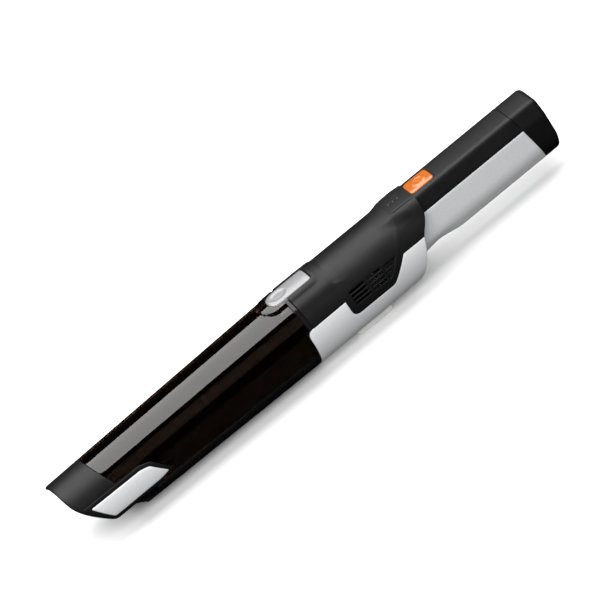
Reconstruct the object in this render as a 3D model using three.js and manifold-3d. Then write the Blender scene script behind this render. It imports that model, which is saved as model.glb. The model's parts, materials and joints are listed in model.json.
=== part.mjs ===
// A handheld stick vacuum: a clear dust cup with its nozzle slides off the front of a motor housing,
// whose slim handle holds the battery. Millimetres, +X towards the handle, +Z up, origin on the
// surface it rests on, under the middle of its length.
import * as THREE from "three";
import { mergeVertices } from "three/addons/utils/BufferGeometryUtils.js";
import Module from "manifold-3d";

// ---- Driving dimensions ----
// Stations along X are measured from the joint of cup and housing, heights from the cup's axis.
const MOUTH_TOP_X = -243.5; // the nozzle's upper lip
const END_X = 260; // rear face of the end cap
const FLOOR_Z = -36.8; // underside of the foot pad
const LIP_Z = 30.1; // height of the upper lip
const MOUTH_LEAN = 0.86; // how far the mouth's lower part runs back for each millimetre down
const MOUTH_BEND_Z = 17.1; // height at which the mouth's upright upper part bends into it
const MOUTH_BEND = 4; // softness of that bend
const WALL = 2; // casing thickness
const GAP = 0.3; // clearance between neighbouring pieces

const CUP_R = 34.6; // cup radius at its rear rim
const CUP_TAPER = 0.0165; // loss of radius per millimetre towards the nozzle
const CUP_DROP = 0.0095; // fall of the cup's axis per millimetre towards the nozzle
const CUP_REAR_X = -2.4;
const BELLY_Z = -12.8; // edge between the clear cup and its opaque belly
const BELLY_TAPER = 0.009;
const BELLY_FRONT_X = -174;
const UNDERSIDE_Z = -24; // flat underside of the nozzle
const KEEL = { halfWidth: 13.8, slope: 0.7 }; // its flat strip, and the rise of its sloping flanks

const HOUSING_R = 34.3;
const COLLAR_R = 35.3; // raised collar of the upper housing round the latch
const COLLAR_X = [1.85, 36, 40]; // its front, the end of its full height, the end of its slope
const LOWER_FRONT_X = -5; // the lower housing's lip reaches under the cup
const SEAM_HIGH_Z = 11.4; // the two levels of the seam between upper and lower housing
const SEAM_LOW_Z = -5.2;
const HANDLE_SEAM_Z = 20.9; // edge between the black top and the light grip
const HANDLE_HALF_WIDTH = 19.6;
const GRIP_BOTTOM_Z = -20;
const FINGER_RELIEF = 4; // how much shallower the grip is where the fingers close round it

const LATCH_X = [-13, 27.4];
const LATCH_HALF_WIDTH = 9.7;
const NOTCH_HALF_WIDTH = 10.3; // opening in the cup round the front of the latch
const LATCH_TOP_R = 36.3;
const LATCH_PIVOT = [6, 32.9];
const BUTTON_X = [133.5, 157];
const BUTTON_HALF_WIDTH = 8.9;
const BUTTON_TOP_Z = 36.3;
const LAMP_X = [114.5, 119, 123.5];
const DUCT_HALF_WIDTH = 16;
const DUCT_Z = [-9, 21];
const DUCT_X = [-195, -123]; // front, and rear at the top
const FLAP_SLOPE = 0.2; // the duct's rear end leans back towards its bottom
const FILTER_R = 25.5;
const FILTER_X = [-97, 2.4];
const CELL_R = 9.2;
const CELL_LENGTH = 65;
const SHAFT_R = 2;

const CASING_SIDES = 36; // facets round the casings
const INNER_SIDES = 20; // facets round what is inside

// ---- Solids ----
const wasm = await Module();
wasm.setup();

// A closed three.js geometry as a solid, turned so that its faces point out.
function solid(geometry) {
  const bare = geometry.index ? geometry.toNonIndexed() : geometry.clone();
  for (const name of Object.keys(bare.attributes)) if (name !== "position") bare.deleteAttribute(name);
  const merged = mergeVertices(bare, 1e-4);
  const make = (triVerts) =>
    new wasm.Manifold(
      new wasm.Mesh({ numProp: 3, vertProperties: merged.attributes.position.array, triVerts }),
    );
  const made = make(new Uint32Array(merged.index.array));
  return made.volume() > 0 ? made : make(new Uint32Array(merged.index.array).reverse());
}

const join = (...solids) => solids.reduce((all, next) => all.add(next));
const cut = (from, ...tools) => tools.reduce((left, tool) => left.subtract(tool), from);
const overlap = (...solids) => solids.reduce((common, next) => common.intersect(next));

// A polygon's corners, each rounded by a curve that starts the given distance before it.
function rounded(corners, trims, steps = 3) {
  const trimAt = (i) => (Array.isArray(trims) ? trims[i] : trims);
  return corners.flatMap((corner, i) => {
    const trim = trimAt(i);
    if (!trim) return [corner];
    const towards = (other) => {
      const length = Math.hypot(other[0] - corner[0], other[1] - corner[1]);
      return other.map((value, k) => corner[k] + ((value - corner[k]) * trim) / length);
    };
    const from = towards(corners[(i + corners.length - 1) % corners.length]);
    const to = towards(corners[(i + 1) % corners.length]);
    return Array.from({ length: steps + 1 }, (_, step) => {
      const t = step / steps;
      return corner.map((value, k) => (1 - t) ** 2 * from[k] + 2 * t * (1 - t) * value + t ** 2 * to[k]);
    });
  });
}

// A polygon moved out by a distance, or in by a negative one, with its corners kept sharp.
function grown(corners, distance) {
  const area = corners.reduce((sum, [x, y], i) => {
    const [nextX, nextY] = corners[(i + 1) % corners.length];
    return sum + x * nextY - nextX * y;
  }, 0);
  const side = area > 0 ? distance : -distance;
  const normal = (a, b) => {
    const length = Math.hypot(b[0] - a[0], b[1] - a[1]);
    return [(b[1] - a[1]) / length, (a[0] - b[0]) / length];
  };
  return corners.map((corner, i) => {
    const before = normal(corners[(i + corners.length - 1) % corners.length], corner);
    const after = normal(corner, corners[(i + 1) % corners.length]);
    const scale = side / (1 + before[0] * after[0] + before[1] * after[1]);
    return [corner[0] + (before[0] + after[0]) * scale, corner[1] + (before[1] + after[1]) * scale];
  });
}

// A polygon pushed from one height to another: a side view (xz), a plan (xy) or a section (yz).
function prism(plane, corners, from, to) {
  const shape = new THREE.Shape(corners.map(([a, b]) => new THREE.Vector2(a, b)));
  const geometry = new THREE.ExtrudeGeometry(shape, { depth: to - from, bevelEnabled: false });
  if (plane === "xz") geometry.rotateX(Math.PI / 2).translate(0, to, 0);
  else if (plane === "xy") geometry.translate(0, 0, from);
  else {
    const axes = [new THREE.Vector3(0, 1, 0), new THREE.Vector3(0, 0, 1), new THREE.Vector3(1, 0, 0)];
    geometry.applyMatrix4(new THREE.Matrix4().makeBasis(...axes)).translate(from, 0, 0);
  }
  return solid(geometry);
}
const across = (corners, halfWidth = 60) => prism("xz", corners, -halfWidth, halfWidth);

const rectangle = (a0, a1, b0, b1) => [
  [a0, b0],
  [a1, b0],
  [a1, b1],
  [a0, b1],
];

function block(x, y, z) {
  const geometry = new THREE.BoxGeometry(x[1] - x[0], y[1] - y[0], z[1] - z[0]);
  geometry.translate((x[0] + x[1]) / 2, (y[0] + y[1]) / 2, (z[0] + z[1]) / 2);
  return solid(geometry);
}

// A cylinder along "x", "y" or "z" between two stations, centred on the other two coordinates.
function cylinder(axis, [from, to], radius, [a, b], sides = 16) {
  const geometry = new THREE.CylinderGeometry(radius, radius, to - from, sides);
  const middle = (from + to) / 2;
  if (axis === "x") geometry.rotateZ(-Math.PI / 2).translate(middle, a, b);
  else if (axis === "y") geometry.translate(a, middle, b);
  else geometry.rotateX(Math.PI / 2).translate(a, b, middle);
  return solid(geometry);
}

// A solid of revolution about the line y = 0 at a height z. The profile's points are [x, radius].
function turned(profile, z = 0, sides = INNER_SIDES) {
  const points = [...profile, profile[0]].map(([x, radius]) => new THREE.Vector2(radius, x));
  return solid(new THREE.LatheGeometry(points, sides).rotateZ(-Math.PI / 2).translate(0, 0, z));
}
const ring = ([from, to], inner, outer, z = 0, sides = INNER_SIDES) =>
  turned(
    [
      [from, inner],
      [from, outer],
      [to, outer],
      [to, inner],
    ],
    z,
    sides,
  );

// A closed solid through a row of outlines, each a list of as many [x, y, z] points.
function loft(outlines) {
  const sides = outlines[0].length;
  const positions = outlines.flat(2);
  const faces = [];
  for (let row = 0; row + 1 < outlines.length; row++)
    for (let i = 0; i < sides; i++) {
      const a = row * sides + i;
      const b = row * sides + ((i + 1) % sides);
      faces.push(a, b, a + sides, b, b + sides, a + sides);
    }
  for (const [row, turn] of [
    [0, 1],
    [outlines.length - 1, 0],
  ]) {
    const centre = positions.length / 3;
    const mean = (k) => outlines[row].reduce((sum, point) => sum + point[k], 0) / sides;
    positions.push(mean(0), mean(1), mean(2));
    for (let i = 0; i < sides; i++) {
      const pair = [row * sides + i, row * sides + ((i + 1) % sides)];
      faces.push(centre, pair[turn], pair[1 - turn]);
    }
  }
  const geometry = new THREE.BufferGeometry();
  geometry.setAttribute("position", new THREE.BufferAttribute(new Float32Array(positions), 3));
  geometry.setIndex(faces);
  return solid(geometry);
}

// A circle of points round the X direction. Its station may be a function of the height.
const circle = (x, radius, z = 0, sides = CASING_SIDES) =>
  Array.from({ length: sides }, (_, i) => {
    const angle = (2 * Math.PI * (i + 0.5)) / sides;
    const height = z + radius * Math.cos(angle);
    return [typeof x === "function" ? x(height) : x, radius * Math.sin(angle), height];
  });

// ---- The object and its materials ----
const group = new THREE.Group();
group.position.set(-(MOUTH_TOP_X + END_X) / 2, 0, -FLOOR_Z);

const finish = (color, roughness, metalness = 0, opacity = 1) =>
  new THREE.MeshStandardMaterial({ color, roughness, metalness, opacity, transparent: opacity < 1 });
const satinBlack = finish(0x232323, 0.5);
const glossBlack = finish(0x0d0d0d, 0.1);
const smokedClear = finish(0x1c130c, 0.05, 0, 0.45);
const satinSilver = finish(0xc4c6c8, 0.4, 0.3);
const brightMetal = finish(0xe6e6e8, 0.18, 0.8);
const orangeGloss = finish(0xf07a12, 0.15);
const paleWhite = finish(0xdededb, 0.6);
const darkRubber = finish(0x161616, 0.85);
const steel = finish(0x9b9da0, 0.35, 1);
const copperWire = finish(0x9c5a2c, 0.45, 0.8);
const magnetGrey = finish(0x55585c, 0.4, 0.8);
const aluminium = finish(0xb4b7ba, 0.4, 0.9);
const boardGreen = finish(0x1f5a36, 0.5);
const cellBlue = finish(0x2d5f8f, 0.4);
const filterCloth = finish(0xd9d6cc, 0.9);
const bristleFibre = finish(0x1a1a1a, 0.8);
const lampWhite = finish(0xf2f2ea, 0.3);

function piece(name, made, material) {
  const { numProp, vertProperties, triVerts } = made.getMesh();
  const geometry = new THREE.BufferGeometry();
  const positions = new Float32Array((vertProperties.length / numProp) * 3);
  for (let i = 0; i * 3 < positions.length; i++)
    positions.set(vertProperties.subarray(i * numProp, i * numProp + 3), i * 3);
  geometry.setAttribute("position", new THREE.BufferAttribute(positions, 3));
  geometry.setIndex(new THREE.BufferAttribute(triVerts, 1));
  geometry.computeVertexNormals();
  const mesh = new THREE.Mesh(geometry, material);
  mesh.name = name;
  group.add(mesh);
}

// ---- Shapes shared by several pieces ----
const mouthX = (z) =>
  MOUTH_TOP_X + MOUTH_LEAN * MOUTH_BEND * Math.log1p(Math.exp((MOUTH_BEND_Z - z) / MOUTH_BEND));
const noseSeamX = (z) => -210 + 0.48 * (31.5 - z); // between nozzle and clear cup
const smoothStep = (t) => {
  const held = Math.min(1, Math.max(0, t));
  return held * held * (3 - 2 * held);
};
// The housing's rear edge, which leans back towards the handle's top.
const shoulderX = (z) =>
  114 +
  0.43 * z +
  7 * smoothStep((z - 9) / 16) -
  0.012 * Math.max(0, z - 20) ** 2 -
  0.006 * Math.max(0, -8 - z) ** 2;
const ridgeX = (z) => Math.max(60, 79.7 + 0.92 * z); // crease ahead of the shoulder
const capSeamX = (z) => 234 + 0.19 * (33 - z);

// The cup's tapering outside, moved out by an offset.
const cupCone = (offset, from = -255, to = 10) =>
  loft([from, to].map((x) => circle(x, CUP_R + CUP_TAPER * (x - CUP_REAR_X) + offset, CUP_DROP * x)));
const bellyCone = (offset, from = -200, to = 0) =>
  loft([from, to].map((x) => circle(x, CUP_R + BELLY_TAPER * x + offset)));

// The rear outline of the nozzle in side view, from top to bottom, with the tabs round its cheeks.
const TAB_TOP_Z = 13;
const nozzleRear = [
  [noseSeamX(40), 40],
  [noseSeamX(TAB_TOP_Z), TAB_TOP_Z],
  [-178.5, TAB_TOP_Z],
  [-168.7, 10.4],
  [-155.3, -6.2],
  [-166.5, -11.3],
  [BELLY_FRONT_X - GAP, BELLY_Z],
  [BELLY_FRONT_X - GAP, UNDERSIDE_Z],
];
const cheek = [
  [-230, 9.7],
  [-179, 9.7],
  [-171, 7.9],
  [-159, -6.2],
  [-168, -8.2],
  [-216, -9.1],
];

// ---- Nozzle ----
// The duct narrows from the mouth to the inlet duct's size.
function mouthOutline(x0, halfWidth, z0, z1, slope) {
  const corners = rectangle(-halfWidth, halfWidth, z0, z1);
  return rounded(corners, [6, 6, halfWidth * 0.8, halfWidth * 0.8], 5).map(([y, z]) => [
    x0 + slope * (LIP_Z - z),
    y,
    z,
  ]);
}
const THROAT_SLOPE = 0.55;
const throat = (offset, rearX) =>
  loft([
    mouthOutline(MOUTH_TOP_X - 6, 27 + offset, -11.5 - offset, 29 + offset, THROAT_SLOPE),
    mouthOutline(MOUTH_TOP_X + 8, 24 + offset, -11.5 - offset, 27 + offset, THROAT_SLOPE),
    mouthOutline(-200, 14.5 + offset, -7.5 - offset, 19.5 + offset, 0),
    mouthOutline(rearX, 14.5 + offset, -7.5 - offset, 19.5 + offset, 0),
  ]);
const BRUSH_POCKET = { halfWidth: 17.5, z: [-21, -13.3], rearX: -179 };
const keelSection = [
  [-40, 45],
  [-40, UNDERSIDE_Z + KEEL.slope * (40 - KEEL.halfWidth)],
  [-KEEL.halfWidth, UNDERSIDE_Z],
  [KEEL.halfWidth, UNDERSIDE_Z],
  [40, UNDERSIDE_Z + KEEL.slope * (40 - KEEL.halfWidth)],
  [40, 45],
];

function nozzle() {
  const mouthEdge = [UNDERSIDE_Z, -4, 2, 7, 11, 14, 17, 20, 24, 29, 40].map((z) => [mouthX(z), z]);
  const profile = [...nozzleRear, ...mouthEdge];
  const tabs = overlap(across(rounded(grown(cheek, 3.1), 2)), cupCone(1));
  const keel = prism("yz", keelSection, -260, -140);
  const outside = overlap(across(profile), join(cupCone(0), tabs), keel);
  const hollow = overlap(
    across([
      [mouthX(40) + 16, 40],
      [-140, 40],
      [-140, -11.3],
      [mouthX(-11.3) + 16, -11.3],
    ]),
    cupCone(-WALL),
  );
  const pocket = block(
    [-260, BRUSH_POCKET.rearX],
    [-BRUSH_POCKET.halfWidth, BRUSH_POCKET.halfWidth],
    BRUSH_POCKET.z,
  );
  const knobSlot = block([-209, -178], [-5.3, 5.3], [-30, -20]);
  const cheekPocket = cut(across(rounded(grown(cheek, GAP), 2)), cupCone(-0.8));
  const ductWall = throat(1.5, DUCT_X[0] - GAP);
  const mouth = overlap(throat(0, -180), cupCone(-1.9));
  return cut(outside, cut(hollow, ductWall), mouth, pocket, knobSlot, cheekPocket);
}
piece("nozzle", nozzle(), satinBlack);

const cheekSkin = cut(
  overlap(across(rounded(cheek, 2)), cupCone(1.1)),
  cupCone(-0.5),
);
const halfSpace = (side) => block([-300, 300], side > 0 ? [0, 60] : [-60, 0], [-60, 60]);
piece("nozzle_trim_right", overlap(cheekSkin, halfSpace(-1)), satinSilver);
piece("nozzle_trim_left", overlap(cheekSkin, halfSpace(1)), satinSilver);

// ---- Brush that pushes out under the mouth ----
function brushSlider() {
  const knobProfile = [
    [-193.5, UNDERSIDE_Z - GAP],
    [-190, -25],
    [-187, -26],
    [-184, -27.6],
    [-181, -29.6],
    [-177.5, -32.6],
    [BELLY_FRONT_X - GAP, -34.4],
    [BELLY_FRONT_X - GAP, UNDERSIDE_Z - GAP],
  ];
  const halfPlan = [
    [-193.5, 13.5],
    [-187, 17],
    [-184, 19.5],
    [-181, 23],
    [BELLY_FRONT_X, 30],
  ];
  const knobPlan = [...halfPlan, ...halfPlan.map(([x, y]) => [x, -y]).reverse()].reverse();
  const knob = overlap(across(knobProfile), prism("xy", knobPlan, -40, -20), bellyCone(0));
  const neck = block([-190, -181], [-5, 5], [-25.8, -20]);
  const plate = block([-194, -181], [-14, 14], [-20.7, -19.2]);
  const bar = block([-199, -192], [-17, 17], [-20.7, -13.6]);
  return join(knob, neck, plate, bar);
}
piece("brush_slider", brushSlider(), satinBlack);
piece("brush_bristles", block([-214.2, -199.3], [-16, 16], [-19.8, -14.6]), bristleFibre);

// ---- Dust cup ----
const bossPlan = (x0, x1, halfWidth, nose) =>
  rounded(rectangle(x0, x1, -halfWidth, halfWidth), [nose, 0, 0, nose], 5);
const BOSS_FLOOR_Z = [26.9, 28.9];

function dustCup() {
  const tube = cut(cupCone(0, -255, CUP_REAR_X), cupCone(-WALL, -256, CUP_REAR_X + 1));
  const kept = across([
    [-260, 40],
    [CUP_REAR_X, 40],
    [CUP_REAR_X, SEAM_HIGH_Z + GAP],
    [LOWER_FRONT_X - GAP, SEAM_HIGH_Z + GAP],
    [LOWER_FRONT_X - GAP, BELLY_Z + GAP / 2],
    [-260, BELLY_Z + GAP / 2],
  ]);
  const nozzleSide = [[-300, 40], ...nozzleRear, [-300, UNDERSIDE_Z]];
  const nose = across([[-300, 45], ...grown(nozzleSide, GAP).slice(1, -1), [-300, -30]]);
  const boss = overlap(
    prism("xy", bossPlan(-22, CUP_REAR_X, NOTCH_HALF_WIDTH + 3.2, 11), BOSS_FLOOR_Z[0], 40),
    cupCone(1.8, -60, 0),
  );
  const notch = prism("xy", bossPlan(-14.2, 5, NOTCH_HALF_WIDTH, 9.9), BOSS_FLOOR_Z[1], 45);
  return cut(join(cut(overlap(tube, kept), nose), boss), notch);
}
piece("dust_cup", dustCup(), smokedClear);

// The rim joins the cup to the housing and carries the tongue that the latch hooks.
const TONGUE = { halfWidth: 6, z: [28.8, 29.9], endX: 26 };
function cupRim() {
  const x = [CUP_REAR_X + GAP, COLLAR_X[0] - GAP];
  const aboveSeam = block([-9, 9], [-40, 40], [SEAM_HIGH_Z + GAP, 40]);
  const upper = overlap(ring(x, 29, CUP_R, 0, CASING_SIDES), aboveSeam);
  const lower = ring(x, 29, 32 - GAP, 0, CASING_SIDES);
  const latchWay = block([-9, 9], [-NOTCH_HALF_WIDTH, NOTCH_HALF_WIDTH], [TONGUE.z[1], 45]);
  const tongue = block([x[0], TONGUE.endX], [-TONGUE.halfWidth, TONGUE.halfWidth], TONGUE.z);
  const barb = block([22.6, TONGUE.endX], [-TONGUE.halfWidth, TONGUE.halfWidth], [TONGUE.z[0], 30.6]);
  return join(cut(join(upper, lower), latchWay), tongue, barb);
}
piece("cup_rim", cupRim(), glossBlack);

piece(
  "belly_shell",
  cut(
    overlap(
      bellyCone(0, BELLY_FRONT_X, LOWER_FRONT_X - GAP),
      across(rectangle(-300, 0, -40, BELLY_Z - GAP / 2)),
    ),
    overlap(bellyCone(-WALL, BELLY_FRONT_X + WALL, 5), block([-300, 10], [-50, 50], [-60, 60])),
  ),
  satinBlack,
);
piece("cup_seal", ring([-1.8, 2.6], 26.6, 28.7, 0, 32), darkRubber);

// ---- Inlet duct and its flap ----
const ductEndX = (z) => DUCT_X[1] + FLAP_SLOPE * (DUCT_Z[1] - z);
const FLAP_PIN = [DUCT_X[1] + 1.9, DUCT_Z[1] + 2.4];
function inletDuct() {
  const corners = rectangle(-DUCT_HALF_WIDTH, DUCT_HALF_WIDTH, DUCT_Z[0], DUCT_Z[1]);
  const outer = prism("yz", rounded(corners, 4), DUCT_X[0], -110);
  const inner = prism("yz", rounded(grown(corners, -1.5), 3), DUCT_X[0] - 1, -109);
  const ear = (y) => block([DUCT_X[1] - 5, FLAP_PIN[0] + 2], y, [19.5, FLAP_PIN[1] + 2]);
  const ahead = across([
    [-300, 40],
    [ductEndX(DUCT_Z[1]), 40],
    [ductEndX(DUCT_Z[1]), DUCT_Z[1]],
    [ductEndX(-20), -20],
    [-300, -20],
  ]);
  const tube = cut(overlap(outer, ahead), inner);
  return cut(join(tube, ear([13.4, 14.8]), ear([-14.8, -13.4])), cylinder("y", [-30, 30], 1.2, FLAP_PIN));
}
piece("inlet_duct", inletDuct(), satinBlack);
piece("flap_pin", cylinder("y", [-14.7, 14.7], 0.9, FLAP_PIN, 10), steel);

function inletFlap() {
  const face = (z, off) => [ductEndX(z) + off, z];
  const plate = across([face(22.6, 0.5), face(22.6, 1.7), face(-9.5, 1.7), face(-9.5, 0.5)], 15.2);
  const narrowed = cut(
    plate,
    block([-130, -110], [13.1, 20], [18, 30]),
    block([-130, -110], [-20, -13.1], [18, 30]),
  );
  const barrel = cylinder("y", [-13.1, 13.1], 1.9, FLAP_PIN);
  return cut(join(narrowed, barrel), cylinder("y", [-30, 30], 1.2, FLAP_PIN));
}
piece("inlet_flap", inletFlap(), darkRubber);

// ---- Filter ----
const SPIGOT_R = [20.5, 22.3];
function filterFrame() {
  const collar = ring([-15, FILTER_X[1]], SPIGOT_R[1] + GAP, FILTER_R, 0, 32);
  const nose = turned(
    [
      [FILTER_X[0], 0],
      [FILTER_X[0], 19],
      [FILTER_X[0] + 2.5, 23.5],
      [FILTER_X[0] + 7, FILTER_R],
      [FILTER_X[0] + 9, FILTER_R],
      [FILTER_X[0] + 9, 0],
    ],
    0,
    32,
  );
  const rib = block([FILTER_X[0] + 5, -14], [-1.2, 1.2], [23.9, FILTER_R - 0.1]);
  const ribs = Array.from({ length: 6 }, (_, i) => rib.rotate([60 * i + 30, 0, 0]));
  return join(collar, nose, ...ribs);
}
piece("filter_frame", filterFrame(), satinBlack);
piece("prefilter_mesh", ring([FILTER_X[0] + 9.3, -15.3], 23, 23.5, 0, 32), satinBlack);

const PLEATS = 22;
const pleated = Array.from({ length: PLEATS * 2 }, (_, i) => {
  const angle = (Math.PI * i) / PLEATS;
  const radius = i % 2 ? 15 : 19.5;
  return [radius * Math.sin(angle), radius * Math.cos(angle)];
});
piece(
  "hepa_filter",
  cut(prism("yz", pleated, FILTER_X[0] + 11, -12), cylinder("x", [FILTER_X[0] + 15, 0], 12.5, [0, 0], 24)),
  filterCloth,
);
piece("filter_seal", ring([-11.6, -9.4], 20.2, 22.3), darkRubber);

// ---- Motor housing and handle: one outside and one inside, shared out among the shells ----
const gripBottom = (x) => {
  const relief = smoothStep((157 - x) / 25) * (1 - 0.6 * smoothStep((135 - x) / 24));
  return GRIP_BOTTOM_Z + FINGER_RELIEF * relief;
};
function handleOutline(x, inset) {
  const bottom = gripBottom(x);
  const half = [
    [13.2, 34.3],
    [HANDLE_HALF_WIDTH, HANDLE_SEAM_Z],
    [HANDLE_HALF_WIDTH, -4.4],
    [10, bottom],
  ];
  const corners = [[0, 34.9], ...half, ...half.map(([y, z]) => [-y, z]).reverse()];
  const trims = [0, 2, 1.5, 5, 4, 4, 5, 1.5, 2];
  return rounded(grown(corners, -inset), trims, 2).map(([y, z]) => [x, y, z]);
}
const gripStations = [90, 111, 117, 123, 129, 137, 142, 147, 152, 157];
const handleOuter = loft([
  ...gripStations.map((x) => handleOutline(x, 0)),
  handleOutline(END_X - 4.5, 0),
  handleOutline(END_X - 1.6, 1.3),
  handleOutline(END_X, 4.2),
]);
const handleInner = loft([...gripStations, END_X - 2.6].map((x) => handleOutline(x, WALL)));

const shoulderCurve = (offset, heights) => heights.map((z) => [shoulderX(z) + offset, z]);
const SHOULDER_HEIGHTS = [-45, -34, -28, -22, -16, -10, -4, 2, 8];
const CASING_HEIGHTS = [...SHOULDER_HEIGHTS, 14, 20, 26, 32, 45];
const motorOuter = overlap(
  loft([
    circle(LOWER_FRONT_X, CUP_R),
    circle(COLLAR_X[2], HOUSING_R),
    circle(ridgeX, HOUSING_R),
    circle(150, HOUSING_R - 2.2),
  ]),
  across([[-10, -45], ...shoulderCurve(0, CASING_HEIGHTS), [-10, 45]]),
);
const motorInner = overlap(
  loft([circle(LOWER_FRONT_X - 1, 32.2), circle(60, 32.1), circle(150, 30)]),
  across([[-10, -45], ...shoulderCurve(-WALL - 0.6, CASING_HEIGHTS), [-10, 45]]),
);
const collar = overlap(
  loft([
    circle(COLLAR_X[0], COLLAR_R),
    circle(COLLAR_X[1], COLLAR_R),
    circle(COLLAR_X[2], HOUSING_R - 0.2),
  ]),
  block([0, 50], [-50, 50], [SEAM_HIGH_Z - 1, 50]),
);
// The handle's flat top runs forward over the round housing as a low pad.
const topPad = overlap(
  across([
    [99, 33.4],
    [104, 34.6],
    [112, 35.3],
    [120, 35.5],
    [129, 35.5],
    [131.5, 34.8],
    [131.5, 30],
    [99, 30],
  ]),
  prism("xy", rounded(rectangle(98, 140, -12, 12), [3, 0, 0, 3]), 29, 40),
);
const bodyOuter = join(motorOuter, collar, handleOuter, topPad);
const bodyShell = cut(bodyOuter, motorInner, handleInner);

// The seam in side view, from front to rear, moved down by a drop.
const housingSeam = (drop) =>
  rounded(
    [
      [35.5 - drop, SEAM_HIGH_Z - drop],
      [35.5 - drop, SEAM_LOW_Z - drop],
      [78 + drop / 2, SEAM_LOW_Z - drop],
      [96.6 + drop / 2, SEAM_HIGH_Z - drop],
    ],
    [0, 7.5, 3, 0],
    4,
  );
const upperRegion = across([
  [COLLAR_X[0], 50],
  [COLLAR_X[0], SEAM_HIGH_Z],
  ...housingSeam(0),
  ...shoulderCurve(0, [SEAM_HIGH_Z, 14, 17, HANDLE_SEAM_Z]),
  [capSeamX(HANDLE_SEAM_Z) - GAP, HANDLE_SEAM_Z],
  [capSeamX(50) - GAP, 50],
]);
const lowerRegion = across([
  [LOWER_FRONT_X, -50],
  ...rounded(
    [
      [LOWER_FRONT_X, -20],
      [LOWER_FRONT_X, SEAM_HIGH_Z - GAP],
      [20, SEAM_HIGH_Z - GAP],
    ],
    [0, 7, 0],
    4,
  ),
  ...housingSeam(GAP),
  ...shoulderCurve(0, [...SHOULDER_HEIGHTS, SEAM_HIGH_Z - GAP].reverse()),
]);
const gripRegion = across([
  ...shoulderCurve(GAP, [...SHOULDER_HEIGHTS, 11, 14, 17, HANDLE_SEAM_Z - GAP]),
  [capSeamX(HANDLE_SEAM_Z) - GAP, HANDLE_SEAM_Z - GAP],
  [capSeamX(-45) - GAP, -45],
]);
const capRegion = across([
  [capSeamX(50), 50],
  [capSeamX(-45), -45],
  [300, -45],
  [300, 50],
]);

// Screws come up from below into posts inside the shells.
const SCREWS = [
  { x: 25, skinZ: -HOUSING_R, topZ: -25 },
  { x: 88, skinZ: -HOUSING_R, topZ: -25 },
  { x: 160, skinZ: GRIP_BOTTOM_Z, topZ: -10 },
  { x: 251, skinZ: GRIP_BOTTOM_Z, topZ: -10 },
];
const post = ({ x, skinZ, topZ }) => overlap(cylinder("z", [skinZ, topZ], 4.4, [x, 0]), bodyOuter);
const screwHole = ({ x, skinZ, topZ }) =>
  join(
    cylinder("z", [skinZ - 5, skinZ + 2.6], 3.1, [x, 0]),
    cylinder("z", [skinZ, topZ + 1], 1.5, [x, 0], 12),
  );

// Vents: rows of slots on both sides, and the shallow recess behind them.
function vents() {
  const rows = [65.4, 71.5, 77.5, 83.6];
  const groups = [
    [42, 57.5],
    [60.4, 74.2],
  ];
  const slots = rows.flatMap((angle) =>
    groups.flatMap((x) => {
      const slot = block(x, [-1, 1], [24, 40]);
      return [slot.rotate([angle, 0, 0]), slot.rotate([-angle, 0, 0])];
    }),
  );
  const recess = across([
    [75.5, 15],
    [92, 15],
    [79, 1.5],
    [75.5, 1.5],
  ]);
  return join(...slots, cut(recess, cylinder("x", [60, 100], HOUSING_R - 0.8, [0, 0], CASING_SIDES)));
}

const LATCH_BED = { rearX: LATCH_X[1] + 0.8, halfWidth: LATCH_HALF_WIDTH + 0.6, z: [26.9, 28.4] };
const bedPlan = (wall) =>
  rectangle(
    wall ? COLLAR_X[0] + 1.1 : -10,
    LATCH_BED.rearX + wall,
    -LATCH_BED.halfWidth - wall,
    LATCH_BED.halfWidth + wall,
  );
function upperShell() {
  const bed = overlap(prism("xy", bedPlan(2.4), LATCH_BED.z[0], 40), bodyOuter);
  const bedSpace = prism("xy", rounded(bedPlan(0), [0, 4.5, 4.5, 0]), LATCH_BED.z[1], 45);
  const buttonPlan = rectangle(...BUTTON_X, -BUTTON_HALF_WIDTH, BUTTON_HALF_WIDTH);
  const buttonHole = prism("xy", rounded(grown(buttonPlan, GAP), 4.2), 25, 45);
  const lampHoles = LAMP_X.map((x) => cylinder("z", [25, 45], 1.2, [x, 0], 12));
  return cut(
    overlap(join(bodyShell, bed), upperRegion),
    bedSpace,
    buttonHole,
    cylinder("y", [-11.5, 11.5], 1.3, LATCH_PIVOT),
    vents(),
    ...lampHoles,
  );
}
piece("upper_shell", upperShell(), satinBlack);
piece(
  "lower_shell",
  cut(
    overlap(join(bodyShell, post(SCREWS[0]), post(SCREWS[1])), lowerRegion),
    screwHole(SCREWS[0]),
    screwHole(SCREWS[1]),
  ),
  satinSilver,
);
piece(
  "handle_shell",
  cut(overlap(join(bodyShell, post(SCREWS[2])), gripRegion), screwHole(SCREWS[2])),
  satinSilver,
);
const SOCKET_Z = 6;
piece(
  "end_cap",
  cut(
    overlap(join(bodyShell, post(SCREWS[3])), capRegion),
    screwHole(SCREWS[3]),
    cylinder("x", [250, 270], 4.8, [0, SOCKET_Z], 24),
  ),
  satinBlack,
);
SCREWS.forEach(({ x, skinZ, topZ }, i) =>
  piece(
    `shell_screw_${i + 1}`,
    cut(
      join(
        cylinder("z", [skinZ + 0.5, skinZ + 2.3], 2.7, [x, 0], 12),
        cylinder("z", [skinZ + 1, topZ - 1], 1.2, [x, 0], 8),
      ),
      block([x - 2, x + 2], [-0.4, 0.4], [skinZ, skinZ + 1.3]),
      block([x - 0.4, x + 0.4], [-2, 2], [skinZ, skinZ + 1.3]),
    ),
    steel,
  ),
);
piece(
  "foot_pad",
  cut(
    prism("xy", rounded(rectangle(34, 72, -14, 14), 6, 5), FLOOR_Z, -28),
    cylinder("x", [20, 90], HOUSING_R + GAP + 0.1, [0, 0], CASING_SIDES),
  ),
  paleWhite,
);

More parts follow.
